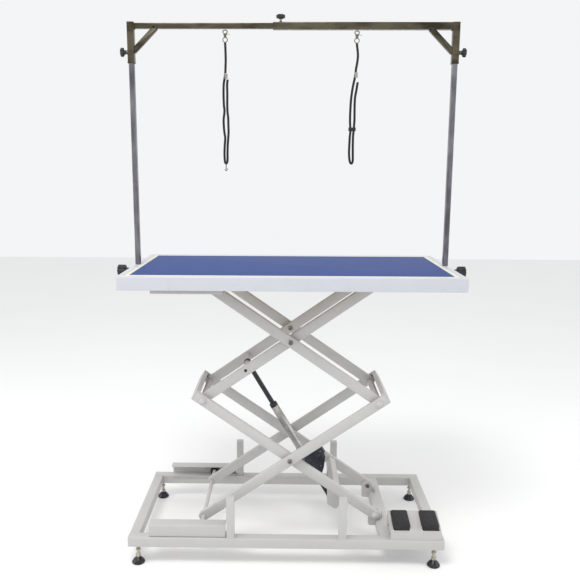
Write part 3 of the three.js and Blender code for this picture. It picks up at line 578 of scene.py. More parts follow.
def makeLoop(side, facts):
    body = f"grooming_loop_{side}"
    low, high = nodeBox[f"snap_hook_{side}"]
    top = np.array([(low[0] + high[0]) / 2, 0.0, low[2] - loop["gap"]])
    route = [(top[0] + x / 1000, 0.0, top[2] - down / 1000) for x, down in facts["route"]]
    path, length = smoothPath(route)
    section = strapSection(loop["width"], loop["thick"])
    strap = carried(f"noose_strap_{side}", section, path)
    addStripMap(strap, section, path)
    dress(strap, "strap", body, f"loop_strap_{side}")
    for k, crimp in enumerate(facts["crimps"]):
        makeCrimp(f"noose_crimp_{side}_{k}", body, crimp, route, top)
    if facts["endHook"]:
        makeEndHook(body)
    makeSnapHook(side, body, top, high[2])


endHook = {"bow": 0.0042, "wire": 0.0016, "lift": 0.0015, "stem": (0.003, -0.004)}


def makeEndHook(body):
    # A small open hook of round wire: a stem above the bow (x, z) = r (cos a, sin a).
    low, high = nodeBox["loop_end_hook_left"]
    middle = (low[0] + high[0]) / 2
    radius = endHook["bow"]
    height = low[2] + radius + endHook["lift"]
    angle = np.linspace(math.radians(100), math.radians(-200), 26)
    bow = [(middle + radius * math.cos(a), 0, height + radius * math.sin(a)) for a in angle]
    stem = [(middle, 0, high[2] + above) for above in endHook["stem"]]
    path, _ = smoothPath(stem + bow, 0.0008)
    hook = carried("noose_end_hook", circle(endHook["wire"], 10), path)
    return dress(hook, "black", body, "loop_end_hook_left")


# Pairs are (distance from the middle, distance below the bar).
snapHook = {
    "ring": 0.0088,
    "ringWire": 0.0017,
    "armWire": 0.0019,
    "leverWire": 0.0010,
    "veeHalf": 0.0022,
    "veeFoot": 0.0045,
    "vee": [(0.0062, 0.0175), (0.0035, 0.0145)],
    "arm": [(0.0042, 0.0180), (0.0070, 0.0124), (0.0084, 0.0080), (0.0064, 0.0056), (0.0008, 0.0030)],
    "tip": [(0, -0.0002), (0.0011, 0.0020), (0.0014, 0.0036), (0, 0.0042)],
    "lever": [(0.0040, 0.0165), (0.0180, 0.0185)],
}


def makeSnapHook(side, body, top, barUnder):
    # Two arms close into a bow under the bar and run down into a flat V body, which holds the strap's ring.
    radius, wire = snapHook["ring"], snapHook["ringWire"]
    below = lambda x, down: (top[0] + x, 0, barUnder - down)
    ringMiddle = top + (0, 0, radius + wire)
    ringTop = barUnder - ringMiddle[2] - radius
    angle = np.linspace(0, 2 * np.pi, 40, endpoint=False)
    ringPath = [ringMiddle + radius * np.array([math.cos(a), 0, math.sin(a)]) for a in angle]
    ring = carried("ring", circle(wire, 10), ringPath, closed=True)
    right = [(snapHook["veeFoot"], ringTop + 0.001), *snapHook["vee"]]
    left = [(-x, down) for x, down in right]
    outline = [below(x, down)[::2] for x, down in left[:1] + right + left[:0:-1]]
    vee = prism("vee", filleted(outline, 0.0012), -snapHook["veeHalf"], snapHook["veeHalf"], 0.0008)
    arms = []
    for way in (-1, 1):
        path, _ = smoothPath([below(way * x, down) for x, down in snapHook["arm"]], 0.001)
        arms.append(carried("arm", circle(snapHook["armWire"], 10), path))
    tip = turned("tip", snapHook["tip"], below(0, 0), (0, 0, -1), 14)
    lever = carried("lever", circle(snapHook["leverWire"], 8), [below(*place) for place in snapHook["lever"]])
    whole = joined(f"swivel_hook_{side}", [ring, vee, *arms, tip, lever])
    dress(whole, "nickel", body, f"snap_hook_{side}")


for side in ("left", "right"):
    makeLoop(side, loop[side])
print("grooming loops made")

armShape = {"depth": 0.040, "corner": 0.0038, "endBeam": 0.042, "endCorner": 0.003, "span": 0.840}
# Each pair of arms has its body's name and starts at its left pivot.
linkage = {
    "lower_outer": {"from": "lower_roller_front_spin", "slope": 1, "cut": "far"},
    "lower_inner": {"from": "mid_left_pivot", "slope": -1, "cut": "near"},
    "upper_inner": {"from": "mid_left_pivot", "slope": 1, "cut": None},
    "upper_outer": {"from": "upper_roller_front_spin", "slope": -1, "cut": None},
}
pivotSpan = np.array(jointAt["lift"]["pos_m"]) - np.array(jointAt["mid_left_pivot"]["pos_m"])
restSlope = math.atan2(-pivotSpan[2], pivotSpan[0])


def squareEnd(x, side):
    # The two rounded corners of a square cut at x, starting with the one on the given side.
    half, corner, steps = side * armShape["depth"] / 2, armShape["endCorner"], 5
    outline = filleted([(x, half), (x, -half), (0, -half), (0, half)], [corner, corner, 0, 0], steps)
    return outline[: 2 * steps].tolist()


def armOutline(start, slope, cut):
    # A strip as deep as the tube along the arm, with a half circle at each pivot or a square cut past it.
    half, span, reach = armShape["depth"] / 2, armShape["span"], armShape["endBeam"]
    arc = np.linspace(np.pi / 2, 3 * np.pi / 2, 17)
    near = [(half * math.cos(a), half * math.sin(a)) for a in arc]
    far = [(span - half * math.cos(a), -half * math.sin(a)) for a in arc]
    if cut == "near":
        near = squareEnd(-reach, 1)
    if cut == "far":
        far = squareEnd(span + reach, -1)
    along, off = np.array(near + far).T
    c, s = math.cos(restSlope), slope * math.sin(restSlope)
    return np.stack([start[0] + along * c - off * s, start[2] + along * s + off * c], 1)


for name, facts in linkage.items():
    start = jointAt[facts["from"]]["pos_m"]
    for end in ("front", "rear"):
        node = f"{name}_arm_{end}"
        low, high = nodeBox[node]
        outline = armOutline(start, facts["slope"], facts["cut"])
        arm = prism(f"{node}_tube", outline, low[1], high[1], armShape["corner"])
        dress(arm, "coat", name, node)
for name in ("lower_outer", "lower_inner"):
    dress(softened(f"{name}_end_beam", 0.0025, 3), "coat", name, f"{name}_end_beam")
print("arms made")

pivot = {
    "dome": 0.0125,
    "domeHeight": 0.009,
    "washer": 0.0165,
    "boss": 0.0125,
    "head": 0.0095,
    "socket": 0.0048,
    "spacer": 0.013,
    "spacerGap": 0.0003,  # between a spacer's end and the arm
    "plateGap": 0.007,    # from an arm's inner face to the plate of its fixed pivot
    "chamfer": 0.0012,
}


def domeCap(name, face, way, place, body, *nodes):
    # A quarter ellipse turned about the pin, on a thin washer.
    dome, washer = pivot["dome"], pivot["washer"]
    angle = np.linspace(0, np.pi / 2, 9)
    profile = [(0, -0.002), (washer, -0.002), (washer, 0.0012), (washer - 0.0006, 0.0018)]
    profile += [(dome + 0.0004, 0.0018)]
    profile += [(dome * math.cos(a), 0.0022 + pivot["domeHeight"] * math.sin(a)) for a in angle]
    dress(turned(name, profile, (place[0], face, place[2]), (0, way, 0)), "coat", body, *nodes)


def socketBolt(name, face, way, place, body, *nodes):
    # A round head with a hexagonal socket: inside the socket the radius follows the hexagon.
    head, socket, boss = pivot["head"], pivot["socket"], pivot["boss"]
    where, axis = (place[0], face, place[2]), (0, way, 0)
    rim = [(0, -0.003), (boss, -0.003), (boss, 0.0006), (boss - 0.0006, 0.0012), (0, 0.0012)]
    dress(turned(name + "_boss", rim, where, axis), "coat", body)
    profile = [(0, 0.0004), (head, 0.0004), (head, 0.0050), (head - 0.0010, 0.0060)]
    profile += [(socket * 1.35, 0.0060), (socket, 0.0054), (socket, 0.0022), (0, 0.0020)]
    inSocket = lambda r, t, a: np.where((r <= socket * 1.01) & (r > 0), hexagon(a, r), r)
    dress(turned(name, profile, where, axis, 48, inSocket), "bolt", body, *nodes)


armFace = {name: nodeBox[f"{name}_arm_rear"][1][1] for name in linkage}
armInside = {name: nodeBox[f"{name}_arm_rear"][0][1] for name in linkage}
plateFace = armInside["lower_inner"] - pivot["plateGap"]
midLeft = jointAt["mid_left_pivot"]["pos_m"]
midRight = (-midLeft[0], 0, midLeft[2])
fixed = jointAt["lift"]["pos_m"]
for way, end in ((-1, "front"), (1, "rear")):
    face = way * armFace["lower_inner"]
    domeCap(f"mid_left_cap_{end}", face, way, midLeft, "lower_inner")
    domeCap(f"mid_right_cap_{end}", way * armFace["lower_outer"], way, midRight, "lower_outer")
    domeCap(f"fixed_pivot_cap_{end}", face, way, fixed, "lower_inner", f"fixed_pivot_bolt_{end}")
    socketBolt(f"fixed_pivot_head_{end}", way * plateFace, -way, fixed, "lower_inner")
    for level in ("lower", "upper"):
        centre, inner = jointAt[f"{level}_centre_pivot"]["pos_m"], f"{level}_inner"
        face = way * armFace[f"{level}_outer"]
        socketBolt(f"{level}_centre_head_{end}", face, way, centre, inner, f"{level}_centre_bolt_{end}")
        socketBolt(f"{level}_centre_nut_{end}", way * armInside[inner], -way, centre, inner)


def makeShaft(name, node, body, radius, half, inset, rise):
    # A turned bar with chamfered ends, about the middle of its CAD node.
    low, high = nodeBox[node]
    profile = pinProfile(radius, half, inset, rise)
    dress(turned(name, profile, (low + high) / 2, (0, 1, 0), 40), "coat", body, node)


for end, pair in (("left", "inner"), ("right", "outer")):
    node = f"mid_{end}_pivot_shaft"
    half = armInside[f"upper_{pair}"] - pivot["spacerGap"]
    makeShaft(node + "_tube", node, f"lower_{pair}", pivot["spacer"], half, 0.0005, 0.0006)
for level in ("lower", "upper"):
    node = f"{level}_roller_shaft"
    size, chamfer = (nodeBox[node][1] - nodeBox[node][0]) / 2, pivot["chamfer"]
    makeShaft(f"{level}_roller_bar", node, f"{level}_outer", size[0], size[1], chamfer, chamfer)

roller = {"rim": 0.020, "band": 0.004, "hub": 0.0125, "bore": 0.0088, "dish": 0.003, "chamfer": 0.0012}


def makeRoller(node):
    # A wheel with a dished face and a raised hub ring on each side.
    low, high = nodeBox[node]
    half = (high[1] - low[1]) / 2
    rim, hub, dish, chamfer = roller["rim"], roller["hub"], roller["dish"], roller["chamfer"]
    within = rim - roller["band"]
    side = [(roller["bore"], half), (hub, half), (hub, half - dish), (within, half - dish), (within, half)]
    side += [(rim - chamfer, half), (rim, half - chamfer)]
    profile = [(r, -t) for r, t in side] + [(rim, -0.002), (rim - 0.0004, 0), (rim, 0.002)] + side[::-1]
    wheel = turned(node + "_wheel", profile + [profile[0]], (low + high) / 2, (0, 1, 0), 56)
    dress(wheel, "pad", node, node)


for level in ("lower", "upper"):
    for end in ("front", "rear"):
        makeRoller(f"{level}_roller_{end}")
print("pivots and rollers made")

floorFrame = {
    "rail": 0.040,
    "corner": 0.0035,
    "lap": 0.003,      # how far a cross rail reaches into the long ones
    "beam": 0.050,
    "beamAt": 0.377,
    "post": 0.030,
    "postsAt": (-0.228, 0.204),
    "postTop": 0.278,
}
bead = {"radius": 0.0016, "ripple": 0.0028}
plate = {
    "thick": 0.006,
    "foot": 0.084,
    "reach": 0.021,             # ahead of the pivot and above it
    "back": 0.025,
    "gusset": 0.022,
    "gussetTop": 0.030,
    "gussetAt": (0.030, 0.034),
}


def weldBead(first, last):
    # A ripple of overlapping scallops: radius r(1 + 0.22 |sin|) along the joint.
    path, _ = smoothPath([first, last], bead["ripple"] / 3)
    swell = 1 + 0.22 * np.abs(np.sin(np.arange(len(path)) * np.pi / 3))
    ring = circle(bead["radius"], 8)
    tangent = np.gradient(path, axis=0)
    tangent /= np.linalg.norm(tangent, axis=1, keepdims=True)
    helper = np.array([0.0, 0.0, 1.0]) if abs(tangent[0, 2]) < 0.8 else np.array([1.0, 0.0, 0.0])
    across = np.cross(tangent, helper)
    across /= np.linalg.norm(across, axis=1, keepdims=True)
    up = np.cross(across, tangent)
    offset = ring[None, :, :1] * across[:, None] + ring[None, :, 1:] * up[:, None]
    return surface("seam", path[:, None] + swell[:, None, None] * offset, sharp=80)


def makeFloorFrame():
    # Two long rails, three rails across, four rest posts and the plates of the fixed pivot, with their welds.
    low, high = nodeBox["base_frame"]
    rail, corner, lap = floorFrame["rail"], floorFrame["corner"], floorFrame["lap"]
    beam, beamAt = floorFrame["beam"] / 2, floorFrame["beamAt"]
    top, front, rear = low[2] + rail, low[1] + rail, high[1] - rail
    across = [(low[0], low[0] + rail), (high[0] - rail, high[0]), (beamAt - beam, beamAt + beam)]
    pieces = [
        bar("long", low, (high[0], front, top), "x", corner),
        bar("long", (low[0], rear, low[2]), (high[0], high[1], top), "x", corner),
    ]
    for x0, x1 in across:
        pieces.append(bar("cross", (x0, front - lap, low[2]), (x1, rear + lap, top), "y", corner))
    half = floorFrame["post"] / 2
    for x in floorFrame["postsAt"]:
        for y in (low[1] + half, high[1] - half):
            head = (x + half, y + half, floorFrame["postTop"])
            pieces.append(bar("post", (x - half, y - half, top - 0.004), head, "z", 0.0028, 0.0012))
            for side in (x - half, x + half):
                first, last = (side, y - half + 0.003, top + 0.0006), (side, y + half - 0.003, top + 0.0006)
                pieces.append(weldBead(first, last))
    for y in (front, rear):
        for x in (low[0] + rail, high[0] - rail, beamAt - beam, beamAt + beam):
            pieces.append(weldBead((x, y, low[2] + 0.006), (x, y, top - 0.006)))
        for x0, x1 in across:
            pieces.append(weldBead((x0 + 0.006, y, top - 0.0008), (x1 - 0.006, y, top - 0.0008)))
    pieces += pivotPlates(top)
    dress(joined("floor_frame", pieces), "coat", "base", "base_frame")


def pivotPlates(top):
    # Each plate stands on the crossbeam and carries the lower fixed pivot, with its own gusset.
    x, _, z = fixed
    reach, under, back, beamAt = plate["reach"], plate["foot"], plate["back"], floorFrame["beamAt"]
    corners = [(x - back, under), (beamAt, under), (beamAt, top), (x + reach, z + 0.004)]
    corners += [(x + 0.012, z + reach), (x - 0.014, z + reach), (x - back, z + 0.008)]
    outline = filleted(corners, [0.008, 0.001, 0.002, 0.006, 0.006, 0.006, 0.006])
    plates = []
    for way in (-1, 1):
        face, seam = way * plateFace, way * (plateFace - 0.0008)
        faces = sorted((face, way * (plateFace + plate["thick"])))
        plates.append(prism("plate", outline, faces[0], faces[1], 0.0008))
        web = sorted((face, way * (plateFace - plate["gusset"])))
        corners = [(web[0], top - 0.001), (web[1], top - 0.001), (face, top + plate["gussetTop"])]
        near, far = [x + ahead for ahead in plate["gussetAt"]]
        plates.append(prism("gusset", filleted(corners, 0.001), near, far, 0.0006, "x"))
        plates.append(weldBead((x + 0.010, seam, top + 0.0006), (beamAt - 0.004, seam, top + 0.0006)))
    return plates


makeFloorFrame()

trackShape = {"wall": 0.004, "bend": 0.005, "lip": 0.0006}


def makeTrack(node, body):
    # A C-section with bent corners carried along X, open towards the middle of the table.
    low, high = nodeBox[node]
    way = 1 if low[1] > 0 else -1
    out, within = (high[1], low[1]) if way > 0 else (low[1], high[1])
    wall, bend = trackShape["wall"], trackShape["bend"]
    z0, z1 = low[2], high[2]
    inner, tight, inside = out - way * wall, trackShape["lip"], bend - wall + 0.0005
    corners = [(within, z0), (out, z0), (out, z1), (within, z1)]
    corners += [(within, z1 - wall), (inner, z1 - wall), (inner, z0 + wall), (within, z0 + wall)]
    radii = [tight, bend, bend, tight, tight, inside, inside, tight]
    channel = prism(node + "_channel", filleted(corners, radii), low[0], high[0], 0.0005, "x")
    dress(channel, "coat", body, node)


for level, body in (("lower", "base"), ("upper", "table")):
    for end in ("front", "rear"):
        makeTrack(f"{level}_track_{end}", body)
dress(softened("pedal_box", 0.0009, 3), "coat", "base", "pedal_box")
print("floor frame made")

pedal = {
    "half": 0.032,
    "corner": 0.007,
    "edge": 0.0035,
    "rim": 0.013,
    "top": (0.053, 0.070),    # above the box's foot, at the front and at the back
    "under": (0.028, 0.046),
    "rib": 0.0007,
    "ribInset": 0.004,
}
boxScrew = [
    (0, -0.001), (0.0038, -0.001), (0.0038, 0.0006), (0.0030, 0.0016), (0.0014, 0.0021), (0.0012, 0.0009),
    (0, 0.0008),
]


def makePedal(name):
    # A rounded rectangle carried upwards: its top tilts from front to back, and its rim is rounded.
    node = f"pedal_{name}"
    low, high = nodeBox[node]
    middle, half, edge = (low[0] + high[0]) / 2, pedal["half"], pedal["edge"]
    front, back = low[1], high[1]
    boxFoot = nodeBox["pedal_box"][0][2]
    slope = lambda ends, y: boxFoot + ends[0] + (ends[1] - ends[0]) * (y - front) / (back - front)
    outline = rectangle((middle - half, front), (middle + half, back), pedal["corner"], 8)
    normals = outward(outline)
    angle = np.linspace(0, np.pi / 2, 6)
    rows = [(0.002, pedal["under"], 0), (0, pedal["under"], 0.002)]
    rows += [(edge * (1 - math.cos(a)), pedal["top"], -edge * (1 - math.sin(a))) for a in angle]
    grid = []
    for inset, ends, shift in rows:
        flat = outline - normals * inset
        grid.append(np.column_stack([flat, slope(ends, flat[:, 1]) + shift]))
    pad = surface("pad", np.array(grid), sharp=50)
    ribY, inset = front + pedal["rim"], pedal["ribInset"]
    line = [(x, ribY, slope(pedal["top"], ribY)) for x in (middle - half + inset, middle + half - inset)]
    rib = carried("rib", circle(pedal["rib"], 8), line)
    hinge = jointAt[f"pedal_{name}_press"]["pos_m"]
    stub = turned("stub", pinProfile(0.003, 0.036), hinge, (1, 0, 0), 20)
    dress(joined(f"foot_pedal_{name}", [pad, rib, stub]), "black", node, node)


for name in ("up", "down"):
    makePedal(name)
low, high = nodeBox["pedal_box"]
heads = []
for back, up in ((0.022, 0.013), (0.072, 0.022)):
    heads.append(turned("head", boxScrew, (low[0], low[1] + back, low[2] + up), (-1, 0, 0), 24))
dress(joined("pedal_box_screws", heads), "bolt", "base")

foot = {
    "pad": 0.025,
    "bell": [(0.90, 0.0085), (0.80, 0.0125), (0.66, 0.0165), (0.50, 0.0205), (0.36, 0.0235), (0.30, 0.0255)],
    "cup": [(0, 0.0245), (0.0080, 0.0245), (0.0084, 0.0262), (0.0078, 0.0290), (0.0074, 0.0372),
            (0.0058, 0.0440), (0.0050, 0.0480), (0, 0.0482)],
    "nut": 0.0085,
    "stem": 0.005,
    "stemFrom": 0.030,
}


def nutProfile(z, height):
    # Pairs (r, z) of a nut from z upwards, its corners chamfered at both faces.
    flat, corner, top = foot["nut"] * 0.9, foot["nut"] * 1.16, z + height
    return [(0, z), (flat, z), (corner, z + 0.0012), (corner, top - 0.0012), (flat, top), (0, top)]


def makeFoot(node):
    # A bell turned about Z; the nuts' radius is the smaller of the profile and the hexagon.
    low, high = nodeBox[node]
    centre = ((low[0] + high[0]) / 2, (low[1] + high[1]) / 2, 0)
    upright = (0, 0, 1)
    pad = foot["pad"]
    bell = [(0, 0), (pad - 0.0015, 0), (pad, 0.0015), (pad, 0.005), (pad - 0.001, 0.0065)]
    bell += [(pad * share, z) for share, z in foot["bell"]] + [(0, 0.026)]
    dress(turned(node + "_pad", bell, centre, upright, 56, sharp=50), "pad", node, node)
    flats = lambda r, t, a: np.minimum(r, hexagon(a, foot["nut"]))
    cup = turned("cup", foot["cup"], centre, upright, 32)
    lowerNut = turned("nut", nutProfile(0.0292, 0.0072), centre, upright, 48, flats)
    upperNut = turned("nut", nutProfile(0.0515, 0.0080), centre, upright, 48, flats)
    turns = np.linspace(foot["stemFrom"], high[2] - 0.0005, 300)
    profile = [(0, turns[0]), *threaded(foot["stem"], 0.09, turns), (0, turns[-1])]
    stem = turned("stem", profile, centre, upright, 20, sharp=70)
    dress(joined(node + "_stem", [cup, lowerNut, upperNut, stem]), "stem", node)


for end in ("front", "rear"):
    for side in ("left", "right"):
        makeFoot(f"levelling_foot_{end}_{side}")
print("pedals and feet made")

rodPivot = np.array(jointAt["rod_pivot"]["pos_m"])
driveAxis = np.array(jointAt["rod_stroke"]["axis"])
driveSide = np.array([-driveAxis[2], 0, driveAxis[0]])
# Places along the drive, from the rod's pivot, and sizes across it.
actuator = {
    "rod": 0.010, "rodEnd": 0.262, "eye": 0.014, "flat": 0.010,
    "mouth": 0.206, "tube": 0.016, "tubeEnd": 0.462, "bore": 0.0114, "boreEnd": 0.454,
    "flutes": 14, "flute": 0.0007,
    "motor": 0.029, "motorOff": 0.054, "motorFrom": 0.448, "motorTo": 0.500,
    "length": 0.6982, "tailEye": 0.012, "tail": 0.010, "tailFrom": 0.574, "tailHalf": 0.009,
    "caseHalf": 0.0225, "coverHalf": 0.025, "screwAt": 0.0247, "pin": 0.006, "pinHalf": 0.0305,
}
neckProfile = [(0, 0.010), (0.0085, 0.011), (0.0099, 0.014), (0.0102, 0.016), (0.0102, 0.031)]
caseScrew = [
    (0, 0), (0.0030, 0), (0.0030, 0.0012), (0.0023, 0.0018), (0.0010, 0.0018), (0.0009, 0.0008), (0, 0.0008),
]


def onDrive(along, off=0.0, y=0.0):
    point = rodPivot + driveAxis * along + driveSide * off
    return (point[0], y, point[2])


def aboutDrive(name, profile, sides, edge=None, off=0.0, sharp=35):
    # A profile turned about the drive's axis, or about a line beside it.
    return turned(name, profile, onDrive(0, off), driveAxis, sides, edge, sharp)


def besideDrive(name, corners, radius, half, edge):
    # An outline of (along, off) corners with a thickness of twice the half.
    outline = [onDrive(a, b)[::2] for a, b in filleted(corners, radius)]
    return prism(name, outline, -half, half, edge)


def makeRod():
    # A round bar with its eye, whose hole lies along Y, and the neck that joins them.
    rod, end, eye, flat = actuator["rod"], actuator["rodEnd"], actuator["eye"], actuator["flat"]
    shaft = aboutDrive("shaft", [(0, 0.012), (rod, 0.0125), (rod, end - 0.001), (0, end)], 36)
    side = [(0.0066, flat), (0.0076, flat), (eye - 0.0012, flat), (eye, flat - 0.0012)]
    ring = [(r, -t) for r, t in side] + side[::-1]
    eyeRing = turned("eye", ring + [ring[0]], onDrive(0), (0, 1, 0), 44)
    neck = aboutDrive("neck", neckProfile + [(rod - 0.0002, 0.032), (0, 0.033)], 36)
    dress(joined("actuator_rod_black", [shaft, eyeRing, neck]), "rod", "actuator_rod", "actuator_rod")


def makeTube():
    # Between its collars the radius is less by a flute's depth times cos 14a, where that is above zero.
    rod, tube, start, end = actuator["rod"], actuator["tube"], actuator["mouth"], actuator["tubeEnd"]
    bore, boreEnd = actuator["bore"], actuator["boreEnd"]

    def fluted(r, t, a):
        dip = actuator["flute"] * np.clip(np.cos(actuator["flutes"] * a), 0, 1)
        return np.where((r > rod + 0.004) & (t > start + 0.020) & (t < end - 0.004), r - dip, r)

    profile = [(bore, boreEnd), (bore, start), (tube - 0.0005, start), (tube, start + 0.001)]
    profile += [(tube, start + 0.018), (tube, start + 0.0192)]
    profile += [(tube, t) for t in np.linspace(start + 0.028, end - 0.006, 12)]
    profile += [(tube, end), (0, end), (0, boreEnd), (bore, boreEnd)]
    body = aboutDrive("actuator_fluted_tube", profile, 112, fluted, sharp=40)
    dress(body, "silver", "actuator_body", "actuator_tube")
    profile = [(0.0110, start - 0.004), (0.0125, start - 0.004), (0.0150, start - 0.0028)]
    profile += [(tube + 0.0004, start - 0.0012), (tube + 0.0004, start + 0.013)]
    profile += [(tube + 0.0001, start + 0.0136), (0.0118, start + 0.0136)]
    profile += [(0.0110, start + 0.001), (0.0110, start - 0.004)]
    collar = aboutDrive("collar", profile, 48)
    profile = [(tube - 0.001, end - 0.034), (tube + 0.0020, end - 0.033), (tube + 0.0020, end - 0.008)]
    profile += [(tube + 0.005, end + 0.001), (0.012, end + 0.001), (0.012, end - 0.034)]
    profile += [(tube - 0.001, end - 0.034)]
    sleeve = aboutDrive("sleeve", profile, 48)
    dress(joined("actuator_collars", [collar, sleeve]), "motor", "actuator_body")


def makeMotor():
    # The gear case and its raised cover, the motor beside the tube, and the tail with its eye and pin.
    start, radius = actuator["tubeEnd"], actuator["motor"]
    first, last = actuator["motorFrom"], actuator["motorTo"]
    length, eye, tail, half = actuator["length"], actuator["tailEye"], actuator["tail"], actuator["tailHalf"]
    corners = [(start, -0.018), (0.556, -0.022), (0.584, -0.010), (0.584, 0.010), (0.547, 0.048)]
    corners += [(0.512, 0.074), (start, 0.084)]
    case = besideDrive("case", corners, 0.006, actuator["caseHalf"], 0.0035)
    corners = [(start + 0.006, -0.015), (0.552, -0.016), (0.571, 0.007), (0.541, 0.043), (0.508, 0.067)]
    cover = besideDrive("cover", corners + [(start + 0.006, 0.077)], 0.006, actuator["coverHalf"], 0.0018)
    profile = [(0, first), (radius * 0.45, first + 0.0004), (radius * 0.5, first + 0.0025)]
    profile += [(radius - 0.006, first + 0.003), (radius - 0.002, first + 0.0045), (radius, first + 0.008)]
    profile += [(radius, first + 0.022), (radius - 0.0012, first + 0.023), (radius - 0.0012, first + 0.0255)]
    profile += [(radius, first + 0.0265), (radius, last - 0.004), (radius - 0.003, last - 0.001), (0, last)]
    can = aboutDrive("can", profile, 64, off=actuator["motorOff"])
    corners = [(actuator["tailFrom"], -tail), (length - 0.006, -tail), (length - 0.002, 0.002 - tail)]
    corners += [(a, -b) for a, b in corners[::-1]]
    tailPlate = besideDrive("tail", corners, 0.001, half, 0.0015)
    tailEye = turned("eye", pinProfile(eye, half, 0.0012, 0.0012), onDrive(length), (0, 1, 0), 44)
    screws = []
    for a, b in ((start + 0.014, -0.008), (0.545, -0.009), (start + 0.016, 0.068), (0.535, 0.040)):
        for way in (-1, 1):
            place = onDrive(a, b, way * actuator["screwAt"])
            screws.append(turned("screw", caseScrew, place, (0, way, 0), 20))
    parts = [case, cover, can, tailPlate, tailEye]
    dress(joined("actuator_gear_case", parts), "motor", "actuator_body", "actuator_motor_housing")
    profile = pinProfile(actuator["pin"], actuator["pinHalf"], 0.0006, 0.0008)
    pin = turned("pin", profile, onDrive(length), (0, 1, 0), 32)
    dress(joined("actuator_case_screws", screws + [pin]), "bolt", "actuator_body")


makeRod()
makeTube()
makeMotor()
dress(softened("actuator_rod_shaft", 0.0008, 2), "coat", "upper_inner", "actuator_rod_shaft")
for way, end in ((-1, "front"), (1, "rear")):
    plug = [(0, -0.001), (0.0062, -0.001), (0.0062, 0.0003), (0.0056, 0.0006), (0, 0.0006)]
    place = (rodPivot[0], way * armFace["upper_inner"], rodPivot[2])
    dress(turned(f"rod_shaft_plug_{end}", plug, place, (0, way, 0), 28), "black", "upper_inner")
dress(softened("actuator_tail_bracket", 0.0015, 3), "coat", "lower_inner", "actuator_tail_bracket")
print("actuator made")

tableEdge = {
    "corner": 0.006,
    "border": 0.040,
    "edge": 0.0035,
    "band": 0.023,
    "wall": 0.003,
    "wallX": nodeBox["rubber_mat"][1][0] + 0.0403,
    "clampHalf": 0.035,
    "socketHalf": 0.016,
    "tabs": (0.258, 0.324),
    "tabHalf": 0.015,
}


def aroundTop(name, section):
    # Rows of (inset from the edge, height) go round the top; past the corner's radius they are rounded anew.
    x, y, corner = tableEdge["wallX"], nodeBox["table_frame"][1][1], tableEdge["corner"]
    outer = rectangle((-x, -y), (x, y), corner, 7)
    normals = outward(outer)
    rows = []
    for inset, height in section:
        flat = outer - normals * inset
        if inset > corner - 0.001:
            radius = 0.0008 + max(0, corner - inset)
            flat = rectangle((inset - x, inset - y), (x - inset, y - inset), radius, 7)
        rows.append(np.column_stack([flat, np.full(len(flat), height)]))
    return surface(name, np.array(rows), closeRows=True)


def makeTop():
    # The folded edge, with a clamp and a socket at each end and a tab over each rest post, and its cream lip.
    low, high = nodeBox["table_frame"]
    z, bottom, wallX = tableTop, low[2], tableEdge["wallX"]
    wall, edge, band, border = tableEdge["wall"], tableEdge["edge"], tableEdge["band"], tableEdge["border"]
    fascia = [(wall, bottom), (0.0008, bottom), (0, bottom + 0.0008)]
    angle = np.linspace(math.pi / 2, 0, 6)
    fascia += [(edge * (1 - math.sin(a)), z - edge * (1 - math.cos(a))) for a in angle]
    fascia += [(band, z), (band + 0.0006, z - 0.0016), (band + 0.0006, z - wall), (wall, z - wall)]
    parts = [aroundTop("skirt", fascia)]
    for way, end in ((-1, low[0]), (1, high[0])):
        half = tableEdge["clampHalf"]
        x0, x1 = sorted((way * (wallX - 0.001), end))
        parts.append(bar("clamp", (x0, -half, bottom + 0.005), (x1, half, z - 0.003), "x", 0.005))
        half = tableEdge["socketHalf"]
        x0, x1 = sorted((way * (wallX - 0.026), way * (wallX - 0.001)))
        parts.append(bar("socket", (x0, -half, bottom), (x1, half, z - 0.002), "z", 0.002))
        half = tableEdge["tabHalf"]
        y0, y1 = sorted(way * y for y in tableEdge["tabs"])
        for x in floorFrame["postsAt"]:
            tab = bar("tab", (x - half, y0, bottom), (x + half, y1, bottom + wall), "y", 0.001, 0.0005)
            parts.append(tab)
    dress(joined("table_edge", parts), "tableCoat", "table", "table_frame")
    lip = [(band + 0.0012, z - 0.004), (band + 0.0012, z - 0.0008), (band + 0.0020, z - 0.0001)]
    lip += [(band + 0.004, z + 0.0002), (border - 0.002, z + 0.0002), (border - 0.0006, z - 0.0004)]
    lip += [(border, z - 0.0016), (border, z - 0.004)]
    dress(aroundTop("table_lip", lip), "lip", "table")


makeTop()
# The mat is a thin sheet with softly rounded edges.
low, high = nodeBox["rubber_mat"]
sheet = prism("mat_sheet", rectangle(low, high, 0.004), low[2], high[2], 0.0016, "z", 5)
dress(sheet, "mat", "table", "rubber_mat")
dress(softened("table_board", 0.001, 2), "board", "table", "table_board")
dress(softened("table_pivot_beam", 0.0009, 2), "coat", "table", "table_pivot_beam")
upperFixed = jointAt["table_pivot"]["pos_m"]
lugFace = nodeBox["upper_fixed_pivot_shaft"][1][1] - 0.005
for way, end in ((-1, "front"), (1, "rear")):
    socketBolt(f"upper_fixed_head_{end}", way * (lugFace - 0.0012), way, upperFixed, "table")
fixedShaft = turned("upper_fixed_shaft", pinProfile(0.007, lugFace), upperFixed, (0, 1, 0), 32)
dress(fixedShaft, "bolt", "table", "upper_fixed_pivot_shaft")
print("table top made")

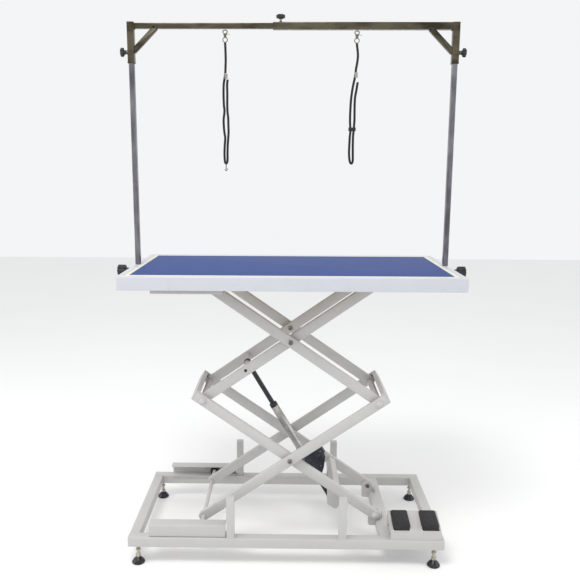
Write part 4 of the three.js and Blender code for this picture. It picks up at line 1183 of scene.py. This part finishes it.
overhead = {
    "corner": 0.0022,
    "postAt": 0.613,      # each post, from the middle
    "postWall": 0.0015,
    "barUp": 0.907,       # the bar's middle above the top
    "barHalf": {"left": 0.010, "right": 0.013},
    "sleeve": 0.150,
    "sleeveHalf": 0.013,
    "sleeveWall": 0.0024,
    "rim": 0.0008,
    "knobUp": 0.812,      # a sleeve's knob above the top
    "braceReach": 0.082,
    "braceHalf": 0.010,
    "boss": [
        (0, -0.001), (0.0085, -0.001), (0.0085, 0.0035), (0.0078, 0.0042), (0.0048, 0.0042), (0.0048, 0),
    ],
    "hole": 0.0045,
    "pitch": 0.0305,
    "holeMargin": 0.10,
    "nutAt": -0.046,
    "nut": [(0, -0.001), (0.0078, -0.001), (0.0082, 0.0006), (0.0060, 0.0030), (0.0052, 0.0046), (0, 0.0046)],
}


def openTube(name, low, high, wall):
    # A square tube open at both ends: the outer rounded square upwards, then the inner one back down.
    outer, rim = rectangle(low, high, overhead["corner"]), 0.0005
    normals = outward(outer)
    rows = [(rim, low[2]), (0, low[2] + rim), (0, high[2] - rim), (rim, high[2])]
    rows += [(wall - rim, high[2]), (wall, high[2] - rim), (wall, low[2] + rim), (wall - rim, low[2])]
    grid = [np.column_stack([outer - normals * inset, np.full(len(outer), z)]) for inset, z in rows]
    return surface(name, np.array(grid), closeRows=True)


def makeOverhead(side):
    # A sleeve on its post, half of the bar, and a square brace at 45 degrees between them.
    low, high = nodeBox[f"overhead_{side}"]
    way = -1 if side == "left" else 1
    half, barHalf, corner = overhead["sleeveHalf"], overhead["barHalf"][side], overhead["corner"]
    postX, barZ = way * overhead["postAt"], tableTop + overhead["barUp"]
    inner, under, sleeveEnd = postX - way * half, barZ - barHalf, high[2] - overhead["sleeve"]
    around = lambda size, z: (postX + size, size, z)
    sleeve = openTube("sleeve", around(-half, sleeveEnd), around(half, high[2]), overhead["sleeveWall"])
    ends = sorted((postX - way * (half - 0.001), low[0] if way > 0 else high[0]))
    beam = bar("beam", (ends[0], -barHalf, under), (ends[1], barHalf, barZ + barHalf), "x", corner, 0.0006)
    reach, side45 = overhead["braceReach"], overhead["braceHalf"]
    first, last = np.array([(inner + way * 0.004, under - reach), (inner - way * reach, under + 0.004)])
    along = (last - first) / np.linalg.norm(last - first)
    across = np.array([-along[1], along[0]]) * side45
    strut = filleted([first - across, last - across, last + across, first + across], 0.0005)
    brace = prism("brace", strut, -side45, side45, 0.0018)
    grown = half + overhead["rim"]
    rim = openTube("rim", around(-grown, sleeveEnd), around(grown, sleeveEnd + 0.004), 0.0012)
    seamX, seamTop = inner - way * 0.0002, barZ + barHalf - 0.002
    seams = [weldBead((seamX, y, under - 0.002), (seamX, y, seamTop)) for y in (-barHalf, barHalf)]
    bossAt = (postX + way * half, 0, tableTop + overhead["knobUp"])
    boss = turned("boss", overhead["boss"], bossAt, (way, 0, 0), 36)
    parts = [sleeve, beam, brace, rim, boss, *seams]
    dress(joined(f"overhead_{side}_tube", parts), "overhead", "overhead", f"overhead_{side}")
    makeHoles(side, ends, under)


def makeHoles(side, ends, under):
    # A row of eyelets for the hooks: discs turned about Z, at an even pitch along the bar's underside.
    margin, pitch, hole = overhead["holeMargin"], overhead["pitch"], overhead["hole"]
    start, stop = ends[0] + margin * (side == "left"), ends[1] - margin * (side == "right")
    profile = [(0, -0.0004), (hole, -0.0004), (hole, 0.0001), (0, 0.0001)]
    places = [(start + k * pitch, 0, under) for k in range(1, int((stop - start) / pitch))]
    discs = [turned("eyelet", profile, place, (0, 0, -1), 10) for place in places]
    dress(joined(f"bar_holes_{side}", discs), "silver", "overhead")


for side in ("left", "right"):
    node = f"post_{side}"
    dress(openTube(node + "_tube", *nodeBox[node], overhead["postWall"]), "post", "posts", node)
    makeOverhead(side)

knob = {
    "clamp": {"radius": 0.0225, "length": 0.032, "head": 0.0397, "lobes": 8},
    "small": {"radius": 0.0168, "length": 0.013, "head": 0.0177, "lobes": 6},
    "edge": 0.0035,
    "screw": 0.004,
}


def makeKnob(node, kind, axis, boss):
    # The head's radius is R - f(1 - cos n a)/2 between its rounded rims; a collar and a screw are behind it.
    radius, length, head, lobes = [knob[kind][key] for key in ("radius", "length", "head", "lobes")]
    low, high = nodeBox[node]
    middle = (low + high) / 2
    centre = (middle[0], 0, low[2]) if axis[2] else (low[0] if axis[0] > 0 else high[0], 0, middle[2])
    edge, flute, end = knob["edge"], radius * 0.17, head + length
    angle = np.linspace(0, np.pi / 2, 6)
    rear = [(radius - edge * (1 - math.sin(a)), head + edge * (1 - math.cos(a))) for a in angle]
    front = [(radius - edge * (1 - math.cos(a)), end - edge * (1 - math.sin(a))) for a in angle]
    profile = [(0, head), *rear, *front, (radius * 0.62, end)]
    profile += [(radius * 0.56, end - 0.0012), (0, end - 0.0012)]
    share = lambda r: np.clip((r - radius * 0.65) / (radius * 0.35), 0, 1)
    lobed = lambda r, t, a: r - share(r) * flute * (1 - np.cos(lobes * a)) / 2
    grip = turned("grip", profile, centre, axis, 120, lobed, sharp=50)
    back = head - boss
    profile = [(0, back), (radius * 0.42, back), (radius * 0.46, back + 0.001), (radius * 0.52, head + 0.001)]
    neck = turned("neck", profile + [(0, head + 0.001)], centre, axis, 40)
    dress(joined(node + "_grip", [grip, neck]), "black", node, node)
    turns = np.linspace(0, head, max(12, int(head / 0.00025)))
    profile = [(0, 0), *threaded(knob["screw"], 0.1, turns), (0, head)]
    dress(turned(node + "_screw", profile, centre, axis, 20, sharp=70), "stem", node)


for side, way in (("left", -1), ("right", 1)):
    makeKnob(f"clamp_knob_{side}", "clamp", (way, 0, 0), 0.012)
    makeKnob(f"sleeve_knob_{side}", "small", (way, 0, 0), 0.008)
makeKnob("bar_knob", "small", (0, 0, 1), 0.003)
# The flared nut that the bar's knob screws through: a profile turned about Z.
nutPlace = (overhead["nutAt"], 0, tableTop + overhead["barUp"] + overhead["barHalf"]["right"])
dress(turned("bar_nut", overhead["nut"], nutPlace, (0, 0, 1), 28), "stem", "overhead")
print("posts, bar and knobs made")

studio = {"floor": 9.0, "sky": 0.92, "key": 78.0, "side": 22.0}


def softBox(name, place, aim, size, power, colour):
    data = bpy.data.lights.new(name, "AREA")
    data.shape = "RECTANGLE"
    data.size, data.size_y = size
    data.energy = power
    data.color = colour
    lamp = bpy.data.objects.new(name, data)
    lamp.location = place
    direction = Matrix.Translation(aim).translation - Matrix.Translation(place).translation
    lamp.rotation_euler = direction.to_track_quat("-Z", "Y").to_euler()
    bpy.context.scene.collection.objects.link(lamp)


def makeStudio():
    half = studio["floor"]
    grid = np.array([[(-half, -half, 0), (half, -half, 0)], [(-half, half, 0), (half, half, 0)]], float)
    floor = surface("floor", grid, closeColumns=False)
    paper = Finish("floor_paper", Roughness=0.9, Specular_IOR_Level=0.1)
    cloud = paper.noise(0.8, detail=2.0)
    paper.set("Base Color", paper.blend(cloud, (0.86, 0.86, 0.86), (0.89, 0.89, 0.885)))
    floor.data.materials.append(paper.material)
    world = bpy.data.worlds.new("studio")
    world.use_nodes = True
    background = world.node_tree.nodes["Background"]
    background.inputs["Color"].default_value = (0.985, 0.99, 1.0, 1)
    background.inputs["Strength"].default_value = studio["sky"]
    bpy.context.scene.world = world
    softBox("key", (-0.9, -2.0, 4.3), (0, 0, 0.7), (1.8, 1.2), studio["key"], (1.0, 0.99, 0.97))
    softBox("side", (-3.4, -0.9, 1.6), (0, 0, 0.8), (1.2, 2.0), studio["side"], (0.94, 0.97, 1.0))
    softBox("side", (3.4, -0.9, 1.6), (0, 0, 0.8), (1.2, 2.0), studio["side"], (0.94, 0.97, 1.0))
    bpy.context.scene.view_settings.view_transform = "Standard"


makeStudio()
print("studio made")
